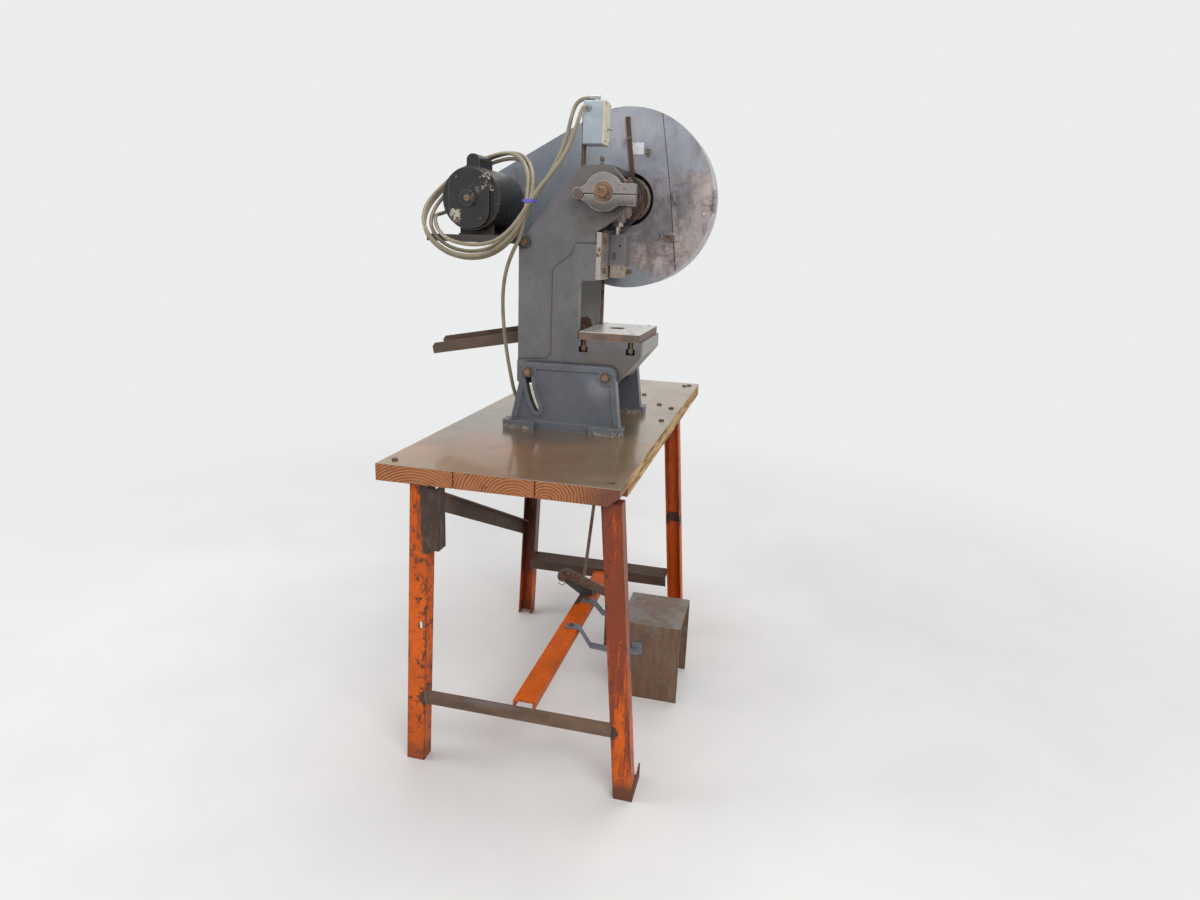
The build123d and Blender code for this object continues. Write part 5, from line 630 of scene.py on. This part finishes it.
def moulded(name, colour, gloss, stain=0.3):
    """Moulded plastic or rubber with a fine grain, handling marks and dust in the corners."""
    g = Graph(name, colour, gloss)
    broad = g.noise(18, 5, 0.6)
    g.tone = g.mix(g.between(broad, 0.35, 0.7), colour, darker(colour, 0.8))
    g.patch(g.noise(45, 6, 0.7), 0.66 - 0.2 * stain, 0.8, 0.6, darker(colour, 0.35))
    g.cover(g.times(g.hollows(0.01), 0.6), OIL)
    g.rough = g.between(broad, 0.3, 0.7, gloss - 0.06, gloss + 0.1)
    g.raise_by(g.noise(700, 3, 0.6), 1.0)
    return g.finish(depth=0.00019)


def brown_bar():
    """Mild steel bar, brown with rust and grey where it was rubbed."""
    g = old_paint("brown_bar", (0.07, 0.042, 0.031), (0.17, 0.12, 0.09), rust=0.5, gloss=0.6, scale=1.4)
    rubbed = g.noise(20, 7, 0.72, stretch=(0.4, 0.4, 1), offset=(2, 2, 9))
    near_bar = g.past("Y", 300, 200, 0.12, 0.85)
    g.cover(g.times(g.between(rubbed, 0.36, 0.6, 0.45, 1.0), near_bar), (0.195, 0.118, 0.075), rough=0.55)
    streaks = g.noise(30, 6, 0.7, stretch=(0.15, 1, 1.5), offset=(4, 1, 1))
    g.cover(g.times(g.between(streaks, 0.55, 0.64), near_bar, 0.75), (0.15, 0.145, 0.16), rough=0.45)
    g.fill(g.shader, {"Specular IOR Level": 0.25})
    return g.finish()


def slide_steel():
    """The ram: dark grey scraped iron with a fine brown and pale speckle, and bright edges."""
    g = bare_metal("slide_steel", (0.21, 0.19, 0.2), gloss=0.4, oil=0.35, scale=2.2, metal=0.5, worn=0.8)
    specks = g.noise(520, 4, 0.7)
    g.patch(specks, 0.5, 0.66, 0.7, (0.085, 0.065, 0.06), rough=0.5)
    g.patch(specks, 0.42, 0.3, 0.7, (0.36, 0.33, 0.33), rough=0.35)
    return g.finish()


def bolster_steel():
    """Ground plate: pale top with fine marks, rust-brown sawn edges."""
    g = bare_metal(
        "bolster_steel", (0.86, 0.84, 0.79), rust=0.33, gloss=0.3, oil=0.05, marks=(0.1, 2.5, 1), metal=0.55
    )
    blotch = g.noise(45, 6, 0.7)
    edge = g.less(1.0, g.facing_up())
    sawn = g.mix(g.between(blotch, 0.36, 0.62), (0.21, 0.115, 0.075), (0.1, 0.07, 0.055))
    g.cover(g.times(edge, 0.95), sawn, rough=0.6)
    g.cover(g.times(g.edges(0.002), 0.6), (0.55, 0.5, 0.42), rough=0.3)
    return g.finish()


MATERIALS = {
    "plank_wood": plank_wood(),
    "bench_steel": bench_sheet(),
    "orange_paint": orange_paint(),
    "channel_paint": channel_paint(),
    "brown_bar": brown_bar(),
    "rusty_steel": bare_metal(
        "rusty_steel", (0.17, 0.125, 0.095), rust=0.75, gloss=0.48, oil=0.5, metal=0.4, worn=0.4
    ).finish(),
    "crank_steel": bare_metal(
        "crank_steel", (0.3, 0.18, 0.11), rust=0.85, gloss=0.42, oil=0.2, scale=1.5, metal=0.5, worn=0.6
    ).finish(),
    "guard_plate": rusted_sheet(
        "guard_plate", (0.135, 0.07, 0.038), (0.19, 0.125, 0.08), (0.22, 0.215, 0.205)
    ),
    "chute_steel": rusted_sheet(
        "chute_steel", (0.072, 0.04, 0.027), (0.11, 0.072, 0.05), (0.15, 0.12, 0.1), stretch=(0.3, 1.6, 1.6)
    ),
    "pivot_steel": pivot_steel(),
    "clutch_iron": clutch_iron(),
    "stand_paint": stand_paint(),
    "frame_paint": frame_paint(),
    "guard_paint": guard_paint(),
    "brake_iron": brake_iron(),
    "worn_steel": bare_metal(
        "worn_steel", (0.5, 0.44, 0.4), rust=0.6, gloss=0.28, oil=0.35, scale=2.2, worn=0.6
    ).finish(),
    "slide_steel": slide_steel(),
    "clamp_steel": bare_metal(
        "clamp_steel", (0.4, 0.335, 0.28), rust=0.66, gloss=0.45, oil=0.15, scale=2.5, metal=0.4, worn=0.5
    ).finish(),
    "bolster_steel": bolster_steel(),
    "bronze": bare_metal("bronze", (0.48, 0.3, 0.13), rust=0.1, gloss=0.35, oil=0.6).finish(),
    "wheel_iron": old_paint("wheel_iron", (0.05, 0.05, 0.052), wear=0.6, grime=0.5, cast=0.4).finish(),
    "motor_black": motor_black(),
    "shelf_steel": old_paint("shelf_steel", (0.05, 0.045, 0.042), rust=0.5).finish(),
    "arm_paint": old_paint(
        "arm_paint", (0.15, 0.175, 0.21), wear=0.6, rust=0.25, grime=0.3, scale=1.5
    ).finish(),
    "box_paint": old_paint(
        "box_paint", (0.42, 0.475, 0.535), (0.6, 0.6, 0.58), wear=0.6, rust=0.06, grime=0.25, gloss=0.34
    ).finish(),
    "cover_plastic": moulded("cover_plastic", (0.66, 0.61, 0.49), gloss=0.42, stain=0.7),
    "toggle_metal": bare_metal("toggle_metal", (0.5, 0.5, 0.48), rust=0.2, gloss=0.25, oil=0.2).finish(),
    "bare_plate": bare_metal(
        "bare_plate", (0.75, 0.76, 0.78), rust=0.25, gloss=0.3, oil=0.1, scale=2.5, metal=0.4
    ).finish(),
    "belt_rubber": moulded("belt_rubber", (0.012, 0.012, 0.012), gloss=0.6),
    "cord_jacket": moulded("cord_jacket", (0.275, 0.232, 0.155), gloss=0.3, stain=0.9),
    "plug_rubber": moulded("plug_rubber", (0.015, 0.015, 0.015), gloss=0.5),
    "tie_plastic": moulded("tie_plastic", (0.12, 0.11, 0.62), gloss=0.3, stain=0.1),
}
SLOT_OF = {row["node"]: row["material_slot"] for row in frame["record"]["subparts"]}
# Nodes that have worn otherwise than the rest of their material slot
OWN_FINISH = {
    "bolster": "bolster_steel",
    "guard_strap": "brown_bar",
    "switch_bracket": "rusty_steel",
    "tilt_bolts": "pivot_steel",
    "clutch_collar": "clutch_iron",
    "shank_clamp": "clamp_steel",
    "brake_drum": "crank_steel",
    "pedal_guard": "guard_plate",
    "chute": "chute_steel",
    "ram": "slide_steel",
    "trip_rod": "rusty_steel",
    "treadle": "rusty_steel",
    "crankshaft": "crank_steel",
    "motor_shaft": "crank_steel",
    "treadle_pin": "rusty_steel",
    "stretcher_middle": "channel_paint",
}


def dress(piece, material):
    piece.data.materials.clear()
    piece.data.materials.append(MATERIALS[material])


for node_name, node_piece in frame["nodes"].items():
    dress(node_piece, OWN_FINISH.get(node_name, SLOT_OF[node_name]))


# New pieces
def piece_from(mesh_maker, name, body, material, smooth=False):
    """A piece whose mesh is made by a function that fills a bmesh; a body of None leaves it attached to no
    body.
    """
    bm = bmesh.new()
    mesh_maker(bm)
    bmesh.ops.recalc_face_normals(bm, faces=bm.faces)
    mesh = bpy.data.meshes.new(name)
    bm.to_mesh(mesh)
    bm.free()
    if smooth:
        mesh.polygons.foreach_set("use_smooth", [True] * len(mesh.polygons))
    piece = add_object(name, mesh)
    dress(piece, material)
    if body:
        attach(piece, body)
    return piece


def round_angles(count):
    return [2 * math.pi * step / count for step in range(count)]


def join_rings(bm, rings, closed=False):
    """Walls from each ring of points to the next, and two caps, unless the last ring meets the first."""
    following = rings[1:] + rings[:1] if closed else rings[1:]
    for ring, after in zip(rings, following):
        for step in range(len(ring)):
            other = (step + 1) % len(ring)
            bm.faces.new((ring[step], ring[other], after[other], after[step]))
    if not closed:
        bm.faces.new(rings[0])
        bm.faces.new(rings[-1])


def turned(profile, centre, axis=(0, 0, 1), sides=24, about=0.0):
    """A turned piece: pairs of radius and height in millimetres, from its foot to its top."""

    def make(bm):
        upright = Vector(axis).normalized().to_track_quat("Z", "Y").to_matrix().to_4x4()
        stand = Matrix.Translation(centre) @ (upright @ Matrix.Rotation(math.radians(about), 4, "Z"))
        rings = []
        for radius, height in profile:
            round_it = [
                (radius * MM * math.cos(angle), radius * MM * math.sin(angle), height * MM)
                for angle in round_angles(sides)
            ]
            rings.append([bm.verts.new(stand @ Vector(point)) for point in round_it])
        join_rings(bm, rings)

    return make


def together(*makers):
    """Several shapes in one mesh."""

    def make(bm):
        for maker in makers:
            maker(bm)

    return make


def slab(low, high, rounding):
    """A plate with softened edges, between two corners."""

    def make(bm):
        found = bmesh.ops.create_cube(bm, size=1.0)["verts"]
        bmesh.ops.scale(bm, vec=high - low, verts=found)
        bmesh.ops.translate(bm, vec=(low + high) / 2, verts=found)
        edges = [edge for edge in bm.edges if edge.verts[0] in found]
        bmesh.ops.bevel(bm, geom=edges, offset=rounding * MM, segments=2, affect="EDGES")

    return make


def pan_head(centre, axis, radius, height):
    """A rounded screw head seated on a face."""
    profile = [
        (radius, -0.2), (radius, 0.35 * height), (0.86 * radius, 0.75 * height),
        (0.55 * radius, 0.95 * height), (0.12 * radius, height),
    ]
    return turned(profile, centre, axis, 20)


def hex_head(centre, axis, across, height, about):
    """A hexagonal head with its chamfered crown."""
    radius = across / math.sqrt(3)
    profile = [(radius, -0.2), (radius, 0.82 * height), (0.87 * radius, height)]
    return turned(profile, centre, axis, 6, about)


def bead(start, finish):
    """A weld bead laid in a corner: a lumpy tube with the ripples that the torch leaves."""
    radius = 3.0
    ripples = 9
    steps = 6 * ripples
    sides = 10

    def make(bm):
        along = finish - start
        side = along.normalized().orthogonal().normalized()
        other = along.normalized().cross(side)
        rings = []
        for step in range(steps + 1):
            share = step / steps
            taper = min(1.0, 8 * share + 0.35, 8 * (1 - share) + 0.35)
            ripple = 1 + 0.16 * math.cos(2 * math.pi * ripples * share) + 0.1 * math.sin(11 * share + ripples)
            reach = radius * MM * taper * ripple
            middle = start + along * share
            rings.append([
                bm.verts.new(middle + side * reach * math.cos(angle) + other * reach * math.sin(angle))
                for angle in round_angles(sides)
            ])
        join_rings(bm, rings)

    return make


def tube(path, radius, sides=14):
    """A closed round tube along a path, turned as little as possible from ring to ring."""

    def make(bm):
        across = (path[1] - path[0]).normalized().orthogonal().normalized()
        rings = []
        for index, point in enumerate(path):
            ahead = path[min(index + 1, len(path) - 1)] - path[max(index - 1, 0)]
            ahead.normalize()
            across = (across - ahead * across.dot(ahead)).normalized()
            upward = ahead.cross(across)
            rings.append([
                bm.verts.new(point + (across * math.cos(angle) + upward * math.sin(angle)) * radius)
                for angle in round_angles(sides)
            ])
        join_rings(bm, rings)

    return make


# The motor's axis, and the way out through its cord hole, whose mouth stands clear of the shell
motor_x = 24
motor_z = 588
cord_hole_y = 540
cord_hole_reach = 94
cord_hole_angle = math.radians(200)
cord_hole_way = Vector((math.cos(cord_hole_angle), 0, math.sin(cord_hole_angle)))
# How far before the shell the heads of the end bell's screws are seated
bell_screw_seat = 29.3


# Small things fixed to the press
def make_press_trim():
    toward = (0, -1, 0)
    # Oil cup on the left web: foot, neck, bowl and spring lid
    cup = [
        (5.4, -0.5), (5.4, 4), (3.2, 4.4), (3.2, 8), (5.6, 10), (6.2, 14), (6.2, 16.5), (5.2, 17.5),
        (5.0, 18.6), (3.2, 20.2), (0.6, 20.8),
    ]
    piece_from(turned(cup, place(375, 482, 674.5)), "oil_cup", "press_frame", "rusty_steel", smooth=True)

    # Bare plate riveted to the guard's face, and the catch beside it
    face = millimetres(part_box("guard_strap")[1].y, left_edge)
    plate = slab(place(385, face - 1.2, 726), place(427, face + 0.2, 758), 0.5)
    rivets = [pan_head(place(x, face - 1.2, z), toward, 1.5, 0.8) for z in (731, 753) for x in (390, 422)]
    piece_from(together(plate, *rivets), "bare_plate", "press_frame", "bare_plate")
    catch = together(
        slab(place(433, face - 3, 722), place(445, face + 0.2, 742), 0.8),
        turned([(3.0, -0.2), (3.0, 5), (2.4, 6)], place(439, face - 3, 732), toward),
    )
    piece_from(catch, "guard_catch", "press_frame", "rusty_steel")

    # The strap's bolt, and the rivet and clip of the guard's door
    strap_bolt = hex_head(place(385, face - 5, 768), toward, 10, 4, 12)
    piece_from(strap_bolt, "strap_bolt", "press_frame", "rusty_steel")
    piece_from(pan_head(place(602, face, 573), toward, 4.5, 3), "door_rivet", "guard_door", "toggle_metal")
    clip = together(
        slab(place(498, face - 5, 498), place(526, face - 1, 516), 0.7),
        pan_head(place(519, face - 5, 507), toward, 3.2, 2.2),
    )
    piece_from(clip, "guard_clip", "guard_door", "rusty_steel")

    # Screws of the motor's end bell and of the switch cover
    seated = millimetres(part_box("motor_shell")[0].y, left_edge) - bell_screw_seat
    bell_screws = [
        pan_head(place(motor_x + across, seated, motor_z + up), toward, 3.6, 2.6)
        for across in (-33, 33) for up in (-51, 51)
    ]
    piece_from(together(*bell_screws), "bell_screws", "press_frame", "rusty_steel")
    cover = millimetres(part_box("switch_cover")[1].x, rear_edge)
    cover_screws = [pan_head(place(cover, y, z), (1, 0, 0), 2.6, 1.6) for y in (535, 579) for z in (735, 823)]
    piece_from(together(*cover_screws), "cover_screws", "press_frame", "rusty_steel")


# Weld beads where the stretcher meets its legs, and the split ring in the treadle's pin
def make_bench_trim():
    low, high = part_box("stretcher_left")
    near = millimetres(low.y, left_edge)
    bottom = millimetres(low.z, bench_top)
    top = millimetres(high.z, bench_top)
    inset = 2
    length = 30
    ends = (millimetres(low.x, rear_edge) + inset, millimetres(high.x, rear_edge) - inset)
    upright = [bead(place(x, near, bottom + inset), place(x, near, top - inset)) for x in ends]
    level = [bead(place(x, near + inset, top), place(x, near + inset + length, top)) for x in ends]
    piece_from(together(*upright, *level), "stretcher_welds", "bench", "rusty_steel", smooth=True)

    ring_radius = 10 * MM
    wire_radius = 1.2 * MM
    low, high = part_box("treadle_pin")
    centre = Vector(((low.x + high.x) / 2, low.y - 1.5 * MM, low.z - 2 * MM))
    path = [
        centre + Vector((math.cos(angle), 0.12 * math.sin(2 * angle), math.sin(angle))) * ring_radius
        for angle in (2 * math.pi * step / 40 for step in range(-18, 19))
    ]
    piece_from(tube(path, wire_radius, 8), "pin_ring", "bench", "rusty_steel", smooth=True)


# Cords
def smooth_line(name, points, resolution):
    """A curve through open space with the points as its control points."""
    data = bpy.data.curves.new(name, "CURVE")
    data.dimensions = "3D"
    data.resolution_u = resolution
    spline = data.splines.new("NURBS")
    spline.points.add(len(points) - 1)
    for control, point in zip(spline.points, points):
        control.co = (*point, 1.0)
    spline.order_u = 3
    spline.use_endpoint_u = True
    return add_object(name, data)


def line_points(points, resolution):
    """The points along the smooth curve."""
    curve = smooth_line("route", points, resolution)
    mesh = bpy.data.meshes.new_from_object(curve)
    found = [v.co.copy() for v in mesh.vertices]
    bpy.data.meshes.remove(mesh)
    bpy.data.objects.remove(curve)
    return found


def out_of_motor(distance):
    """A point straight out of the motor's cord hole, at a distance from its mouth in millimetres."""
    return place(motor_x, cord_hole_y, motor_z) + cord_hole_way * (cord_hole_reach + distance) * MM


cord_r = 5 * MM
motor_route = [
    place(323, 512, 813), place(323, 494, 813), place(318, 480, 796), place(312, 474, 772),
    place(300, 472, 732), place(281, 462, 690), place(253, 448, 648), place(222, 430, 606),
    place(196, 420, 560), place(165, 416, 516), place(125, 415, 484), place(78, 416, 472),
    place(30, 418, 473), place(-14, 424, 483), place(-46, 440, 504), place(-66, 466, 524),
    place(-79, 492, 537), place(-88, 516, 545), out_of_motor(18), out_of_motor(0),
]
supply_route = [
    place(321, 557, 839), place(303, 557, 839), place(285, 555, 828), place(276, 549, 804),
    place(270, 538, 762), place(264, 516, 718), place(252, 490, 674), place(232, 468, 630),
    place(204, 456, 592),
]
coil_route = [
    place(198, 452, 582), place(190, 490, 645), place(150, 545, 690), place(95, 592, 706),
    place(35, 616, 698), place(-35, 604, 668), place(-86, 562, 612), place(-104, 506, 562),
    place(-86, 450, 512), place(-38, 442, 464), place(30, 442, 446), place(100, 442, 458),
    place(162, 444, 508),
]
lead_route = [
    place(193.5, 449, 536), place(178, 450, 500), place(154, 456, 462), place(131, 470, 418),
    place(115, 486, 364), place(110, 497, 304), place(113, 503, 240), place(121, 505, 180),
    place(130, 507, 130), place(138, 511, 86), place(152, 518, 48), place(178, 530, 18),
    place(212, 544, 5.6), place(248, 553, 5.4), place(280, 558, 9.5), place(308, 560, 16),
    place(334, 560, 16),
]
# How far the turns lie from the middle of their bundle, at each of its points
coil_fan = [7.6, 8.6, 9.6, 9.8, 9.6, 9.8, 10.5, 12.5, 13.0, 12.5, 13.5, 14.0, 10.5]
coil_turns = 3
coil_start = math.radians(200)


def coil_points():
    """The turns of the slack: each a quarter turn further round the bundle than the one before."""
    count = len(coil_route)
    middle = sum(coil_route, Vector()) / count
    found = []
    for step in range(1, coil_turns * count + 1):
        index = -step % count
        before = coil_route[(index + 1) % count]
        after = coil_route[(index - 1) % count]
        ahead = (after - before).normalized()
        outward = coil_route[index] - middle
        outward = (outward - ahead * outward.dot(ahead)).normalized()
        across = ahead.cross(outward)
        angle = coil_start + math.pi / 2 * step / count
        away = outward * math.cos(angle) + across * math.sin(angle)
        found.append(coil_route[index] + away * coil_fan[index] * MM)
    return found


def make_cords():
    motor_cord = smooth_line("motor_cord", motor_route, 16)
    motor_cord.data.bevel_depth = cord_r
    motor_cord.data.bevel_resolution = 4
    dress(motor_cord, "cord_jacket")
    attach(motor_cord, "press_frame")
    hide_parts("cord_motor")

    path = line_points([*supply_route[:-1], *coil_points(), *lead_route[1:]], 8)
    supply_cord = piece_from(tube(path, cord_r), "supply_cord", None, "cord_jacket", smooth=True)
    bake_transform(supply_cord)
    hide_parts("cord_supply", "cord_coil", "cord_lead")


def make_tie():
    """The band that holds the motor's cord and the slack together."""
    centre = place(202, 442, 583)
    reach_x = 17
    reach_y = 27
    section = ((-0.8, -3), (0.8, -3), (0.8, 3), (-0.8, 3))

    def make(bm):
        rings = []
        for angle in round_angles(48):
            away = Vector((reach_x * math.cos(angle), reach_y * math.sin(angle), 0)) * MM
            rings.append([
                bm.verts.new(centre + away + away.normalized() * across * MM + Vector((0, 0, up)) * MM)
                for across, up in section
            ])
        join_rings(bm, rings, closed=True)

    piece_from(make, "cord_tie", "press_frame", "tie_plastic")


make_cords()
make_tie()
make_press_trim()
make_bench_trim()


# Floor, backdrop and light
BACKDROP = (0.84, 0.845, 0.85)
ROOM_LIGHT = 0.55
FADE_START = 0.9
FADE_END = 3.2


def make_stage():
    floor = Graph("pale_floor", (0.7, 0.7, 0.7), 0.6)
    floor.cover(floor.between(floor.noise(1.6, 6, 0.6), 0.3, 0.7), (0.76, 0.755, 0.75))
    floor.raise_by(floor.noise(60, 4, 0.6), 1.0)
    floor.finish(depth=0.0003)
    # Far from the object the floor takes the backdrop's own tone, so that no horizon shows
    glow = floor.add("ShaderNodeEmission", {"Color": BACKDROP, "Strength": 1.0})
    far = floor.less(1.0, floor.near((0, 0, 0), FADE_START, FADE_END))
    floor.show(floor.times(far, floor.seen()), floor.shader, glow, "Material Output")
    bpy.ops.mesh.primitive_plane_add(size=FLOOR_SIZE, location=(0, 0, 0))
    plane = bpy.context.object
    plane.name = "floor"
    plane.data.materials.append(floor.material)

    world = bpy.data.worlds.new("room")
    world.use_nodes = True
    bpy.context.scene.world = world
    room = Nodes(world.node_tree)
    light = room.fill(room.tree.nodes["Background"], {"Color": (1, 1, 1), "Strength": ROOM_LIGHT})
    backdrop = room.add("ShaderNodeBackground", {"Color": BACKDROP, "Strength": 1.0})
    room.show(room.seen(), light, backdrop, "World Output")


def make_lamp(name, where, aim, size, power):
    data = bpy.data.lights.new(name, "AREA")
    data.shape = "RECTANGLE"
    data.size = size[0]
    data.size_y = size[1]
    data.energy = power
    lamp = add_object(name, data)
    lamp.location = where
    lamp.rotation_mode = "QUATERNION"
    lamp.rotation_quaternion = (Vector(aim) - Vector(where)).to_track_quat("-Z", "Y")


make_stage()
make_lamp("front_lamp", (2.2, -3.4, 3.6), (0, 0, 0.9), (2.6, 1.8), 95)
make_lamp("left_lamp", (-3.4, -1.2, 3.0), (0, 0, 0.9), (2.2, 2.2), 60)
make_lamp("top_lamp", (0.3, 1.0, 4.2), (0, 0, 0.8), (3.0, 3.0), 60)
